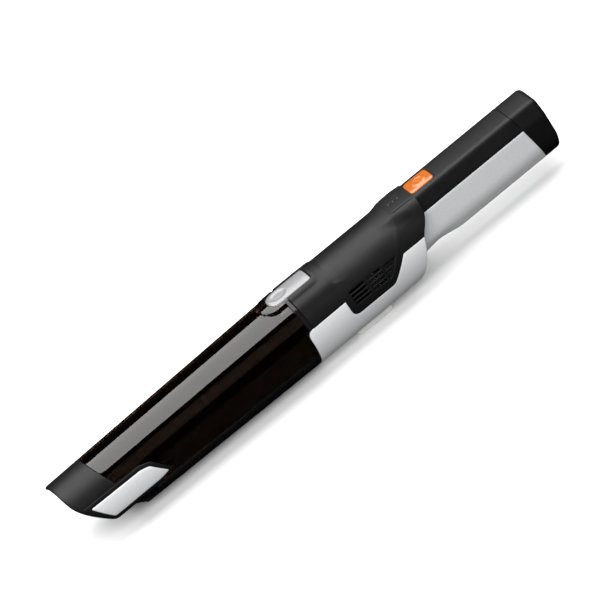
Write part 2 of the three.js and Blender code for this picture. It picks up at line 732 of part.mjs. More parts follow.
// ---- Latch: a rocker whose nose is pressed down, so that its hook lifts off the cup's tongue ----
function releaseLatch() {
  const plan = rounded(
    rectangle(LATCH_X[0], LATCH_X[1], -LATCH_HALF_WIDTH, LATCH_HALF_WIDTH),
    [LATCH_HALF_WIDTH - 0.01, 3.5, 3.5, LATCH_HALF_WIDTH - 0.01],
    7,
  );
  const cap = overlap(prism("xy", plan, 31.2, 45), cylinder("x", [-30, 50], LATCH_TOP_R, [0, 0], 72));
  const dimple = new THREE.SphereGeometry(1, 28, 14)
    .scale(8.8, 6.2, 1.4)
    .translate(-1.5, 0, LATCH_TOP_R + 0.3);
  const springSlot = block([2.8, 9.2], [-3.2, 3.2], [30, 35.3]);
  const hook = block([19, 22], [-5.5, 5.5], [30.9, 32]);
  return cut(join(cap, hook), solid(dimple), springSlot, cylinder("y", [-30, 30], 1.3, LATCH_PIVOT));
}
piece("release_latch", releaseLatch(), brightMetal);
piece("latch_pin", cylinder("y", [-11.2, 11.2], 1, LATCH_PIVOT), steel);
piece(
  "latch_spring",
  cut(cylinder("y", [-2.8, 2.8], 2.2, LATCH_PIVOT), cylinder("y", [-4, 4], 1.3, LATCH_PIVOT)),
  steel,
);

// ---- Power button ----
function powerButton() {
  const [x0, x1] = BUTTON_X;
  const plan = rectangle(x0, x1, -BUTTON_HALF_WIDTH, BUTTON_HALF_WIDTH);
  const cap = prism("xy", rounded(plan, 4), 31, BUTTON_TOP_Z - 0.7);
  const crown = prism("xy", rounded(grown(plan, -0.8), 3.6), BUTTON_TOP_Z - 1, BUTTON_TOP_Z);
  const flange = prism("xy", rectangle(x0 - 1.4, x1 + 1.4, -6, 6), 30.2, 31.6);
  const stem = cylinder("z", [29.6, 31], 1.6, [x0 + 11.5, 0]);
  return join(cap, crown, flange, stem);
}
piece("power_button", powerButton(), orangeGloss);
const BUTTON_CENTRE = [(BUTTON_X[0] + BUTTON_X[1]) / 2 - 0.25, 0];
const springTube = cylinder("z", [26.5, 29.9], 5.2, BUTTON_CENTRE, 20);
piece("button_spring", cut(springTube, cylinder("z", [26, 31], 4.6, BUTTON_CENTRE, 20)), steel);
const switchBody = block([142, 148], [-3, 3], [26.4, 27.8]);
piece("tact_switch", join(switchBody, cylinder("z", [27, 28.2], 1.6, BUTTON_CENTRE)), darkRubber);
LAMP_X.forEach((x, i) =>
  piece(`charge_lamp_${i + 1}`, cylinder("z", [33, 35.6], 0.85, [x, 0], 12), lampWhite),
);

// ---- Electronics and battery ----
piece("control_board", block([110, 164], [-13, 13], [24.5, 26.1]), boardGreen);
piece("driver_board", ring([78.6, 80.2], 4, 26, 0, 32), boardGreen);
const CELLS = [
  { x: 100, z: 4 },
  { x: 170, z: 17.4 },
  { x: 170, z: -4 },
];
CELLS.forEach(({ x, z }, i) =>
  piece(
    `battery_cell_${i + 1}`,
    turned(
      [
        [x, 0],
        [x, CELL_R],
        [x + CELL_LENGTH - 1.4, CELL_R],
        [x + CELL_LENGTH - 1.4, 3],
        [x + CELL_LENGTH, 3],
        [x + CELL_LENGTH, 0],
      ],
      z,
      24,
    ),
    cellBlue,
  ),
);
function batteryHolder() {
  const plate = (x) => prism("yz", rounded(rectangle(-12, 12, -12, 26), [6, 6, 3, 3]), x, x + 2);
  const rail = (y) => block([167.6, 237.6], y, [4, 9.5]);
  return join(plate(167.6), plate(235.6), rail([10, 12]), rail([-12, -10]));
}
piece("battery_holder", batteryHolder(), satinBlack);
piece(
  "charge_socket",
  cut(
    cylinder("x", [246, END_X - 0.4], 4.4, [0, SOCKET_Z], 20),
    cylinder("x", [249, 270], 3.1, [0, SOCKET_Z], 20),
  ),
  glossBlack,
);

// ---- Motor ----
const bedClearance = block([-10, 33], [-13, 13], [26.5, 45]);
const BORE_R = 31.8; // what fits inside the housing
piece(
  "motor_bulkhead",
  cut(
    join(ring([3, 5.6], 15, BORE_R, 0, CASING_SIDES), ring([-9, 4], SPIGOT_R[0], SPIGOT_R[1], 0, 32)),
    bedClearance,
  ),
  satinBlack,
);
piece("motor_mount_front", cut(ring([8, 16], 24.1, BORE_R, 0, 32), bedClearance), darkRubber);
piece(
  "fan_shroud",
  turned(
    [
      [6.2, 12],
      [6.2, 22.8],
      [7.6, 23.8],
      [24.2, 23.8],
      [24.2, 22],
      [9.2, 22],
      [9.2, 12],
    ],
    0,
    32,
  ),
  aluminium,
);
function impeller() {
  const hub = turned([
    [10.5, SHAFT_R - 0.5],
    [10.5, 5],
    [16, 8],
    [20.5, 20.5],
    [22, 20.5],
    [22, SHAFT_R - 0.5],
  ]);
  const blade = overlap(
    block([10.8, 21], [-0.6, 0.6], [3, 20.3]),
    prism("xz", [[10.8, 3], [10.8, 13], [15, 20.3], [21, 20.3], [21, 3]], -5, 5),
  );
  const blades = Array.from({ length: 9 }, (_, i) => blade.rotate([40 * i, 0, 0]));
  return join(hub, ...blades);
}
piece("impeller", cut(impeller(), cylinder("x", [0, 30], SHAFT_R + 0.05, [0, 0])), aluminium);
piece(
  "motor_can",
  turned(
    [
      [24.6, 5.4],
      [24.6, 12],
      [30, 20],
      [62, 20],
      [62, 18.4],
      [31, 18.4],
      [28.2, 12],
      [28.2, 5.4],
    ],
    0,
    32,
  ),
  aluminium,
);
function stator() {
  const tooth = block([34, 56], [-2.4, 2.4], [8.4, 16]);
  const teeth = Array.from({ length: 6 }, (_, i) => tooth.rotate([60 * i, 0, 0]));
  return join(ring([34, 56], 14.6, 18.1), ...teeth);
}
piece("stator", stator(), steel);
function windings() {
  const coil = cut(
    block([32.2, 57.8], [-3.7, 3.7], [9.6, 13.6]),
    block([33.8, 56.2], [-2.7, 2.7], [9, 15]),
  );
  const coils = Array.from({ length: 6 }, (_, i) => coil.rotate([60 * i, 0, 0]));
  return join(ring([57, 58.6], 10, 13.4), ...coils);
}
piece("stator_windings", windings(), copperWire);
piece("rotor_magnet", ring([35, 55], SHAFT_R + 0.05, 7.8), magnetGrey);
piece("motor_shaft", cylinder("x", [9.6, 65.5], SHAFT_R, [0, 0]), steel);
piece("bearing_front", ring([24.8, 28], SHAFT_R + 0.3, 5.1), steel);
piece("bearing_rear", ring([62.4, 65.4], SHAFT_R + 0.3, 5.1), steel);
piece("motor_end_bell", ring([62.3, 65.6], 5.4, 20), aluminium);
piece("motor_mount_rear", ring([57, 65.6], 20.3, BORE_R, 0, 32), darkRubber);

export default group;
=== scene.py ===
import json
import math

import bmesh
import bpy
import numpy as np
from mathutils import Matrix, Vector
from mathutils.geometry import delaunay_2d_cdt


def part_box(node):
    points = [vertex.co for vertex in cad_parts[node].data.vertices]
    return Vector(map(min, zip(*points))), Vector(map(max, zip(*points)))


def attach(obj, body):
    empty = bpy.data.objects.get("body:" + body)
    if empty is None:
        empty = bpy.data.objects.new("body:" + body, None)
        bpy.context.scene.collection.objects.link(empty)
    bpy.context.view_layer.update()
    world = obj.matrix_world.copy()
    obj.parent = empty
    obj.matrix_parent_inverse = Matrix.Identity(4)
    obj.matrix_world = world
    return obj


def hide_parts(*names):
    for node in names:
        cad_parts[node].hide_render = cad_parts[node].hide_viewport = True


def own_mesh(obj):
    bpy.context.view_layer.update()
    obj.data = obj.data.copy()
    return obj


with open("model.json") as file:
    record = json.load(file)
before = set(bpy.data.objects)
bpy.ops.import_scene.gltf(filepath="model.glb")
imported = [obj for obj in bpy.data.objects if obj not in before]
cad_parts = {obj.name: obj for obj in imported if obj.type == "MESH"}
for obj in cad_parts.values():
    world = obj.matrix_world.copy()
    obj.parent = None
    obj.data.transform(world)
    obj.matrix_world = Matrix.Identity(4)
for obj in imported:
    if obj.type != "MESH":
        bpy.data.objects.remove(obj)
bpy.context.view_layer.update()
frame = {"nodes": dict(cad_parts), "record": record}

# ---- Where things are ----
# Shapes are worked out in millimetres, in stations along X from the joint of cup and housing and in
# heights from the cup's axis. row() turns such a point into the row frame's metres.
MM = 0.001
CUP_REAR_X = -2.4
JOINT_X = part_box("dust_cup")[1].x / MM - CUP_REAR_X
AXIS_Z = (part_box("motor_shaft")[0].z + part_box("motor_shaft")[1].z) / 2 / MM


def row(x, y, z):
    return ((x + JOINT_X) * MM, y * MM, (z + AXIS_Z) * MM)


def span(node, axis):
    """A CAD node's extent along x, y or z, in millimetres from the joint and the axis."""
    k = "xyz".index(axis)
    shift = (JOINT_X, 0, AXIS_Z)[k]
    return [corner[k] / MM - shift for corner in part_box(node)]


# ---- Driving dimensions ----
WALL = 2
GAP = 0.3
CUP_R = 34.6
CUP_TAPER = 0.0165
CUP_DROP = 0.0095
BELLY_TAPER = 0.009
BELLY_Z = -12.8
BELLY_FRONT_X = span("belly_shell", "x")[0]
LOWER_FRONT_X = span("lower_shell", "x")[0]
UNDERSIDE_Z = span("nozzle", "z")[0]
KEEL_HALF_WIDTH = 13.8
KEEL_SLOPE = 0.7
MOUTH_TOP_X = -243.5
MOUTH_LEAN = 0.86
MOUTH_BEND_Z = 17.1
MOUTH_BEND = 4
END_X = span("end_cap", "x")[1]
HOUSING_R = 34.3
COLLAR_FRONT_X = 1.85
SEAM_HIGH_Z = 11.4
SEAM_LOW_Z = -5.2
HANDLE_SEAM_Z = 20.9
HANDLE_HALF_WIDTH = 19.6
CROWN_HALF_WIDTH = 13.2
GRIP_BOTTOM_Z = -20
FINGER_RELIEF = 4
LATCH_X = span("release_latch", "x")
LATCH_HALF_WIDTH = span("release_latch", "y")[1]
NOTCH_HALF_WIDTH = 10.3
LATCH_TOP_R = 36.3
BUTTON_X = span("power_button", "x")
BUTTON_HALF_WIDTH = 8.9
BUTTON_TOP_Z = span("power_button", "z")[1]
FOOT_X = span("foot_pad", "x")
FOOT_Z = span("foot_pad", "z")[0]
SOCKET_Z = 6
GRIP_BEND_Z = -4.4
SHOULDER_OPENING_Y = 18.6
SCREW_HOLE_R = 3.1
SCREW_X = [sum(span(f"shell_screw_{i}", "x")) / 2 for i in (1, 2, 3, 4)]
LAMP_X = [sum(span(f"charge_lamp_{i}", "x")) / 2 for i in (1, 2, 3)]


def mouth_x(z):
    bend = math.log1p(math.exp((MOUTH_BEND_Z - z) / MOUTH_BEND))
    return MOUTH_TOP_X + MOUTH_LEAN * MOUTH_BEND * bend


def nose_seam_x(z):
    return -210 + 0.48 * (31.5 - z)


def shoulder_x(z):
    lean = 114 + 0.43 * z + 7 * smooth((z - 9) / 16)
    return lean - 0.012 * max(0, z - 20) ** 2 - 0.006 * max(0, -8 - z) ** 2


def ridge_x(z):
    return max(60, 79.7 + 0.92 * z)


def cap_seam_x(z):
    return 234 + 0.19 * (33 - z)


def crown_z(y):
    """The gently arched top of the handle."""
    return 34.9 - 0.6 * (y / CROWN_HALF_WIDTH) ** 2


def pad_lift(x):
    """How far the pad round the lamps stands above the handle's crown."""
    return 0.6 * smooth((x - 98) / 12) * (1 - smooth((x - 125) / 6))


# ---- Outlines ----
def lerp(a, b, t):
    return a + (b - a) * t


def smooth(t):
    t = min(1.0, max(0.0, t))
    return t * t * (3 - 2 * t)


def rounded(corners, trims, steps=6):
    """A polygon's corners, each rounded by a curve that starts the given distance before it."""
    out = []
    for i, corner in enumerate(corners):
        trim = trims[i] if isinstance(trims, (list, tuple)) else trims
        if not trim:
            out.append(corner)
            continue
        here = Vector(corner)
        before = Vector(corners[i - 1]) - here
        after = Vector(corners[(i + 1) % len(corners)]) - here
        start = here + before.normalized() * trim
        end = here + after.normalized() * trim
        for k in range(steps + 1):
            t = k / steps
            out.append(tuple(start * (1 - t) ** 2 + here * 2 * t * (1 - t) + end * t**2))
    return out


def rectangle(a0, a1, b0, b1):
    return [(a0, b0), (a1, b0), (a1, b1), (a0, b1)]


def oval(a, b, half_a, half_b, count=24):
    turns = [2 * math.pi * i / count for i in range(count)]
    return [(a + half_a * math.cos(t), b + half_b * math.sin(t)) for t in turns]


def mirrored(half):
    """An outline from one half, whose first and last points lie on the middle line v = 0."""
    return list(half) + [(u, -v) for u, v in reversed(half[1:-1])]


def densified(points, step, closed=True):
    out = []
    ends = points[1:] + points[:1] if closed else points[1:]
    for a, b in zip(points, ends):
        count = max(1, math.ceil(math.dist(a, b) / step))
        out += [tuple(lerp(p, q, k / count) for p, q in zip(a, b)) for k in range(count)]
    return out if closed else out + [points[-1]]


def area(loop):
    return sum(a[0] * b[1] - b[0] * a[1] for a, b in zip(loop, loop[1:] + loop[:1])) / 2


def inset(loop, distance):
    """A loop moved towards its left-hand side, with its corners kept sharp."""
    points = np.array(loop)
    ahead = np.roll(points, -1, 0) - points
    ahead /= np.maximum(np.linalg.norm(ahead, axis=1), 1e-9)[:, None]
    left = np.stack([-ahead[:, 1], ahead[:, 0]], 1)
    before = np.roll(left, 1, 0)
    scale = distance / np.maximum(0.35, 1 + (left * before).sum(1))
    return points + (left + before) * scale[:, None]


def inside(points, loops):
    """Which points lie inside an odd number of loops."""
    odd = np.zeros(len(points), bool)
    for loop in loops:
        a = np.asarray(loop)
        b = np.roll(a, -1, 0)
        for (x0, y0), (x1, y1) in zip(a, b):
            if y0 == y1:
                continue
            crosses = (points[:, 1] >= min(y0, y1)) & (points[:, 1] < max(y0, y1))
            odd ^= crosses & (points[:, 0] < x0 + (points[:, 1] - y0) * (x1 - x0) / (y1 - y0))
    return odd


def triangulated(loops, step, creases=()):
    """Triangles that fill the loops, with a lattice of points inside. Crease lines become edges."""
    points, edges = [], []
    for line, links in [(p, len(p)) for p in loops] + [(p, len(p) - 1) for p in creases]:
        first = len(points)
        points += [tuple(p) for p in line]
        edges += [(first + i, first + (i + 1) % len(line)) for i in range(links)]
    border = np.array(points)
    low, high = border.min(0), border.max(0)
    grid = np.stack(
        np.meshgrid(*[np.arange(low[k] + step[k] / 2, high[k], step[k]) for k in (0, 1)]), -1
    ).reshape(-1, 2)
    grid = grid[inside(grid, loops)]
    keep = np.ones(len(grid), bool)
    clear = 0.55 * min(step)
    for p in border:
        keep &= ((grid - p) ** 2).sum(1) > clear * clear
    points += [tuple(p) for p in grid[keep]]
    result = delaunay_2d_cdt([Vector(p) for p in points], edges, [], 0, 1e-5, True)
    flat = np.array([tuple(v) for v in result[0]])
    faces = np.array([f for f in result[2] if len(f) == 3])
    faces = faces[inside(flat[faces].mean(1), loops)]
    new_index = {old: new for new, olds in enumerate(result[3]) for old in olds}
    return flat, faces, new_index


# ---- Bodies ----
CORE_R = 0.01  # a turned solid has a bore this thin, so that no ring of it shrinks to a point


def new_object(name, points, faces):
    mesh = bpy.data.meshes.new(name)
    mesh.from_pydata([row(*p) for p in points], [], [list(map(int, f)) for f in faces])
    shape = bmesh.new()
    shape.from_mesh(mesh)
    bmesh.ops.remove_doubles(shape, verts=shape.verts, dist=1e-7)
    bmesh.ops.dissolve_degenerate(shape, dist=1e-7, edges=shape.edges)
    bmesh.ops.join_triangles(
        shape, faces=shape.faces, angle_face_threshold=0.2, angle_shape_threshold=0.6
    )
    bmesh.ops.recalc_face_normals(shape, faces=shape.faces)
    shape.to_mesh(mesh)
    shape.free()
    made = bpy.data.objects.new(name, mesh)
    bpy.context.scene.collection.objects.link(made)
    return made


def skin(name, outline, surface, under, holes=(), edge=0.4, step=(3, 1.5), creases=(), turns=3):
    """A closed body between a surface and its underside, inside an outline and round its holes.

    surface(u, v, depth) and under(u, v) give points. The surface's rims are rounded by edge."""
    border_step = min(step)
    loops = []
    for i, loop in enumerate([outline, *holes]):
        dense = densified(list(loop), border_step)
        loops.append(dense if (area(dense) > 0) == (i == 0) else dense[::-1])
    rims = [inset(loop, edge) for loop in loops]
    flat, faces, index = triangulated(rims, step, creases)
    count = len(flat)
    points = [surface(u, v, 0) for u, v in flat] + [under(u, v) for u, v in flat]
    out = [tuple(f) for f in faces] + [(c + count, b + count, a + count) for a, b, c in faces]
    first = 0
    for loop, rim in zip(loops, rims):
        size = len(loop)
        rows = [[index[first + i] for i in range(size)]]
        for turn in range(1, turns + 1):
            angle = math.pi / 2 * turn / turns
            ring = rim + (np.array(loop) - rim) * math.sin(angle)
            rows.append(range(len(points), len(points) + size))
            points += [surface(u, v, edge * (1 - math.cos(angle))) for u, v in ring]
        rows.append(range(len(points), len(points) + size))
        points += [under(u, v) for u, v in loop]
        rows.append([index[first + i] + count for i in range(size)])
        first += size
        for upper, lower in zip(rows, rows[1:]):
            for i in range(size):
                k = (i + 1) % size
                out.append((upper[i], lower[i], lower[k], upper[k]))
    return new_object(name, points, out)


def panel(name, half, surface, **options):
    """A skin of even wall, given by one half of its outline."""
    return skin(name, mirrored(half), surface, lambda x, v: surface(x, v, WALL), **options)


def topped(name, plan, top, bottom_z, **options):
    """A body over a plan, between a height that varies and a flat bottom."""
    return skin(
        name, plan, lambda x, y, d=0.0: (x, y, top(x, y) - d), lambda x, y: (x, y, bottom_z), **options
    )


def wrapped(name, rings, closed=True):
    """A body from rings of points: joined end to end, or with its two ends filled."""
    size = len(rings[0])
    points = [p for ring in rings for p in ring]
    last = len(rings) if closed else len(rings) - 1
    faces = []
    for r in range(last):
        a, b = r * size, ((r + 1) % len(rings)) * size
        faces += [(a + i, a + (i + 1) % size, b + (i + 1) % size, b + i) for i in range(size)]
    if not closed:
        faces += [tuple(range(size))[::-1], tuple(range(last * size, last * size + size))]
    return new_object(name, points, faces)


def prism(name, plane, outline, low, high, bevel=0.0):
    """An outline pushed from low to high, in side view (xz), in plan (xy) or in section (yz)."""
    order = {"xz": (0, 2, 1), "xy": (0, 1, 2), "yz": (2, 0, 1)}[plane]

    def point(a, b, c):
        return tuple((a, b, c)[k] for k in order)

    made = wrapped(name, [[point(a, b, c) for a, b in outline] for c in (low, high)], closed=False)
    if bevel:
        soften(made, bevel)
    return made


def turned(name, profile, axis="x", centre=(0, 0), sides=32):
    """A closed profile of (station, radius) points turned about a line along x, y or z."""
    rings = []
    for i in range(sides):
        angle = 2 * math.pi * i / sides
        ring = []
        for station, radius in profile:
            a = centre[0] + radius * math.sin(angle)
            b = centre[1] + radius * math.cos(angle)
            ring.append({"x": (station, a, b), "y": (a, station, b), "z": (a, b, station)}[axis])
        rings.append(ring)
    return wrapped(name, rings)


def rod(low, high, radius):
    """The profile of a plain round bar."""
    return [(low, CORE_R), (low, radius), (high, radius), (high, CORE_R)]


def settled(made):
    """Applies a piece's modifiers to its mesh."""
    graph = bpy.context.evaluated_depsgraph_get()
    graph.update()
    old = made.data
    made.data = bpy.data.meshes.new_from_object(made.evaluated_get(graph))
    made.modifiers.clear()
    bpy.data.meshes.remove(old)
    return made


def soften(made, width, segments=3, angle=35):
    bevel = made.modifiers.new("edges", "BEVEL")
    bevel.width = width * MM
    bevel.segments = segments
    bevel.limit_method = "ANGLE"
    bevel.angle_limit = math.radians(angle)
    return settled(made)


def combined(made, operation, others):
    for other in others:
        modifier = made.modifiers.new("boolean", "BOOLEAN")
        modifier.operation = operation
        modifier.solver = "EXACT"
        modifier.object = other
    settled(made)
    for other in others:
        mesh = other.data
        bpy.data.objects.remove(other)
        bpy.data.meshes.remove(mesh)
    return made


def carve(made, *cutters):
    return combined(made, "DIFFERENCE", cutters)


def unite(made, *others):
    return combined(made, "UNION", others)


def common(made, *others):
    return combined(made, "INTERSECT", others)


# ---- Camera, floor and lights ----
YAW = math.radians(10)
PITCH = math.radians(35)
ROLL = math.radians(39.4)
CAMERA_DISTANCE = 20.0
LENS = 1500
AIM_X = 13.7
AIM_UP = 0.015


def add_camera():
    """Looks down from the right and a little from the front, rolled so that the handle points up."""
    back = Vector(
        (-math.sin(YAW), -math.cos(YAW) * math.cos(PITCH), math.cos(YAW) * math.sin(PITCH))
    )
    along = (Vector((1, 0, 0)) - back * back.x).normalized()
    across = back.cross(along)
    right = along * math.cos(ROLL) - across * math.sin(ROLL)
    up = along * math.sin(ROLL) + across * math.cos(ROLL)
    aim = Vector(row(AIM_X, 0, 0)) + across * AIM_UP
    camera = bpy.data.objects.new("camera", bpy.data.cameras.new("camera"))
    camera.data.lens = LENS
    camera.matrix_world = Matrix.Translation(aim + back * CAMERA_DISTANCE) @ Matrix(
        (right, up, back)
    ).transposed().to_4x4()
    bpy.context.scene.collection.objects.link(camera)
    bpy.context.scene.camera = camera


def add_light(name, place, target, size, power, glossy=True):
    light = bpy.data.lights.new(name, "AREA")
    light.shape = "RECTANGLE"
    light.size, light.size_y = size
    light.energy = power
    made = bpy.data.objects.new(name, light)
    made.visible_glossy = glossy
    made.location = place
    forward = (Vector(target) - Vector(place)).normalized()
    side = Vector((1, 0, 0)) - forward * forward.x
    side.normalize()
    basis = Matrix((side, (-forward).cross(side), -forward)).transposed()
    made.rotation_mode = "QUATERNION"
    made.rotation_quaternion = basis.to_quaternion()
    bpy.context.scene.collection.objects.link(made)


def add_studio():
    floor_mesh = bpy.data.meshes.new("floor")
    half = 6
    corners = [(-half, -half, 0), (half, -half, 0), (half, half, 0), (-half, half, 0)]
    floor_mesh.from_pydata(corners, [], [(0, 1, 2, 3)])
    floor = bpy.data.objects.new("floor", floor_mesh)
    floor.visible_glossy = False
    floor.visible_diffuse = False
    bpy.context.scene.collection.objects.link(floor)
    paint = bpy.data.materials.new("floor_paint")
    paint.use_nodes = True
    shader = paint.node_tree.nodes["Principled BSDF"]
    shader.inputs["Base Color"].default_value = (0.8, 0.8, 0.8, 1)
    shader.inputs["Roughness"].default_value = 0.8
    shader.inputs["Specular IOR Level"].default_value = 0.1
    floor_mesh.materials.append(paint)
    # The overhead softbox lies along the object, a little behind it as the camera sees it.
    add_light("softbox", (0, 0.18, 0.93), (0, 0, 0.037), (2.6, 1.05), 28)
    add_light("front_fill", (-0.4, -1.25, 1.2), (0, 0, 0.03), (2.4, 1.0), 37, glossy=False)
    world = bpy.data.worlds.new("studio")
    world.use_nodes = True
    background = world.node_tree.nodes["Background"]
    background.inputs["Color"].default_value = (1, 1, 1, 1)
    background.inputs["Strength"].default_value = 0.35
    world.cycles_visibility.glossy = False
    bpy.context.scene.world = world
    bpy.context.scene.view_settings.view_transform = "Standard"


add_camera()
add_studio()


# ---- Materials ----
class Finish:
    """A procedural finish on Blender's Principled shader, in the object's own coordinates."""

    def __init__(self, name, colour, roughness, metallic=0.0, **inputs):
        self.name = name
        self.material = bpy.data.materials.new(name)
        self.material.use_nodes = True
        self.tree = self.material.node_tree
        self.shader = self.tree.nodes["Principled BSDF"]
        self.colour, self.roughness = colour, roughness
        self.shader.inputs["Metallic"].default_value = metallic
        self.shader.inputs["Roughness"].default_value = roughness
        self.shader.inputs["Base Color"].default_value = (*colour, 1)
        for key, value in inputs.items():
            self.shader.inputs[key.replace("_", " ")].default_value = value
        self.place = self.tree.nodes.new("ShaderNodeTexCoord").outputs["Object"]

    def link(self, source, target):
        self.tree.links.new(source, target)

    def noise(self, scale, detail=2.0, stretch=None):
        node = self.tree.nodes.new("ShaderNodeTexNoise")
        node.inputs["Scale"].default_value = scale
        node.inputs["Detail"].default_value = detail
        place = self.place
        if stretch:
            mapping = self.tree.nodes.new("ShaderNodeMapping")
            mapping.inputs["Scale"].default_value = stretch
            self.link(place, mapping.inputs["Vector"])
            place = mapping.outputs["Vector"]
        self.link(place, node.inputs["Vector"])
        return node.outputs["Fac"]

    def ramp(self, source, low, high):
        """Spreads the range in which most of a noise lies over another range."""
        node = self.tree.nodes.new("ShaderNodeMapRange")
        self.link(source, node.inputs["Value"])
        values = (0.3, 0.7, low, high)
        for key, value in zip(("From Min", "From Max", "To Min", "To Max"), values):
            node.inputs[key].default_value = value
        return node.outputs["Result"]

    def mottled(self, scale=45, spread=0.1, other=None, stretch=None):
        """The colour drifts towards a second one, or a lighter one of its own."""
        mix = self.tree.nodes.new("ShaderNodeMix")
        mix.data_type = "RGBA"
        dark = tuple(c * (1 - spread) for c in self.colour)
        light = other or tuple(min(1, c * (1 + spread)) for c in self.colour)
        mix.inputs["A"].default_value = (*dark, 1)
        mix.inputs["B"].default_value = (*light, 1)
        self.link(self.ramp(self.noise(scale, 4, stretch), 0, 1), mix.inputs["Factor"])
        self.link(mix.outputs["Result"], self.shader.inputs["Base Color"])
        return self

    def varied(self, scale=120, spread=0.05, stretch=None):
        low, high = self.roughness - spread, self.roughness + spread
        drift = self.ramp(self.noise(scale, 3, stretch), max(0.0, low), high)
        self.link(drift, self.shader.inputs["Roughness"])
        return self

    def grained(self, scale=2200, strength=0.2, depth=0.03, stretch=None):
        bump = self.tree.nodes.new("ShaderNodeBump")
        bump.inputs["Strength"].default_value = strength
        bump.inputs["Distance"].default_value = depth * MM
        self.link(self.noise(scale, 2, stretch), bump.inputs["Height"])
        self.link(bump.outputs["Normal"], self.shader.inputs["Normal"])
        return self


def make_materials():
    made = [
        Finish("black_satin", (0.006, 0.006, 0.0062), 0.45, Specular_IOR_Level=0.38)
        .mottled(60, 0.12).varied(150, 0.04).grained(2400, 0.35, 0.03),
        Finish("black_gloss", (0.006, 0.006, 0.007), 0.08)
        .mottled(40, 0.2).varied(90, 0.02).grained(300, 0.05, 0.02),
        Finish(
            "smoked_clear", (0.036, 0.021, 0.014), 0.025, Transmission_Weight=1.0, IOR=1.49,
            Specular_IOR_Level=1.0, Coat_Weight=0.6
        ).mottled(30, 0.04).varied(60, 0.008).grained(60, 0.04, 0.02),
        Finish("silver_satin", (0.58, 0.59, 0.595), 0.42, 0.1)
        .mottled(900, 0.05).varied(200, 0.04).grained(2600, 0.25, 0.02),
        Finish("bright_silver", (0.27, 0.27, 0.275), 0.32, 0.3)
        .mottled(700, 0.03).varied(160, 0.04).grained(1500, 0.1, 0.01),
        Finish("orange_gloss", (0.42, 0.11, 0.018), 0.16, Coat_Weight=1.0)
        .mottled(120, 0.08).varied(90, 0.03).grained(900, 0.08, 0.02),
        Finish("pale_foot", (0.72, 0.72, 0.7), 0.6)
        .mottled(70, 0.06).varied(150, 0.06).grained(1500, 0.3, 0.04),
        Finish("soft_rubber", (0.012, 0.012, 0.012), 0.75)
        .mottled(80, 0.2).varied(200, 0.08).grained(1200, 0.5, 0.05),
        Finish("steel", (0.5, 0.5, 0.5), 0.3, 1.0)
        .mottled(90, 0.08).varied(400, 0.08, (0.05, 1, 1)).grained(3000, 0.1, 0.01, (0.05, 1, 1)),
        Finish("light_metal", (0.62, 0.63, 0.64), 0.36, 1.0)
        .mottled(80, 0.06).varied(300, 0.08).grained(1600, 0.2, 0.02),
        Finish("copper_wire", (0.55, 0.2, 0.075), 0.35, 1.0)
        .mottled(1500, 0.3, stretch=(0.1, 1, 1)).varied(500, 0.08)
        .grained(2600, 0.8, 0.1, (0.08, 1, 1)),
        Finish("circuit_board", (0.01, 0.09, 0.03), 0.4, Coat_Weight=0.5)
        .mottled(600, 0.35, (0.03, 0.16, 0.06)).varied(400, 0.08).grained(900, 0.3, 0.05),
        Finish("cell_wrap", (0.03, 0.13, 0.3), 0.3, Coat_Weight=0.3)
        .mottled(60, 0.12).varied(120, 0.06).grained(400, 0.15, 0.05),
        Finish("filter_cloth", (0.66, 0.64, 0.58), 0.9, Sheen_Weight=0.3)
        .mottled(500, 0.12).varied(400, 0.05).grained(1800, 0.7, 0.12),
        Finish("bristle_fibre", (0.012, 0.012, 0.013), 0.6)
        .mottled(300, 0.3).varied(300, 0.1).grained(2000, 0.3, 0.03),
        Finish("lamp_lens", (0.05, 0.05, 0.052), 0.25)
        .mottled(300, 0.08).varied(300, 0.05).grained(900, 0.1, 0.02),
    ]
    return {finish.name: finish.material for finish in made}


MATERIALS = make_materials()


def add(made, slot, body, *nodes, angle=38):
    """Shades a piece, gives it the finish of its slot, hangs it on its body's empty and hides the CAD
    nodes it stands in for.
    """
    made.data.materials.clear()
    made.data.materials.append(MATERIALS[slot])
    made.data.shade_smooth()
    made.data.set_sharp_from_angle(angle=math.radians(angle))
    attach(made, body)
    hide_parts(*nodes)


# ---- Round casings ----
def barrel(radius_at, axis_at=lambda x: 0.0, start=0.0):
    """A surface round the X direction. v is the arc from the top, or from the bottom at start pi."""

    def surface(x, v, depth=0.0):
        angle = start + v / HOUSING_R
        radius = radius_at(x, angle) - depth
        return (x, radius * math.sin(angle), axis_at(x) + radius * math.cos(angle))

    def unroll(x, z):
        cosine = (z - axis_at(x)) / radius_at(x, start)
        angle = math.acos(min(1.0, max(-1.0, cosine)))
        return (x, abs(start - angle) * HOUSING_R)

    return surface, unroll


def slanted(x_at_z, surface, from_v, to_v, count=40):
    """The points where a surface meets a plane or curved sheet that is a line in side view."""
    out = []
    for k in range(count + 1):
        v = lerp(from_v, to_v, k / count)
        x = x_at_z(0)
        for _ in range(8):
            x = x_at_z(surface(x, v)[2])
        out.append((x, v))
    return out


def unrolled(unroll, points, step=1.5):
    return [unroll(x, z) for x, z in densified(points, step, closed=False)]


def cup_radius(x, angle=0.0):
    return CUP_R + CUP_TAPER * (x - CUP_REAR_X)


def cup_axis(x):
    return CUP_DROP * x


def proud_cup(proud):
    return barrel(lambda x, angle: cup_radius(x) + proud, cup_axis)


# The nozzle's rear outline in side view from top to bottom, with the tabs round its cheeks.
TAB_TOP_Z = 13
TAB = [(-178.5, TAB_TOP_Z), (-168.7, 10.4), (-155.3, -6.2), (-166.5, -11.3)]
CHEEK = [(-230, 9.7), (-179, 9.7), (-171, 7.9), (-159, -6.2), (-168, -8.2), (-216, -9.1)]


def grown(corners, distance):
    """A polygon moved out by a distance."""
    ordered = corners if area(corners) > 0 else corners[::-1]
    return [tuple(p) for p in inset(ordered, -distance)]


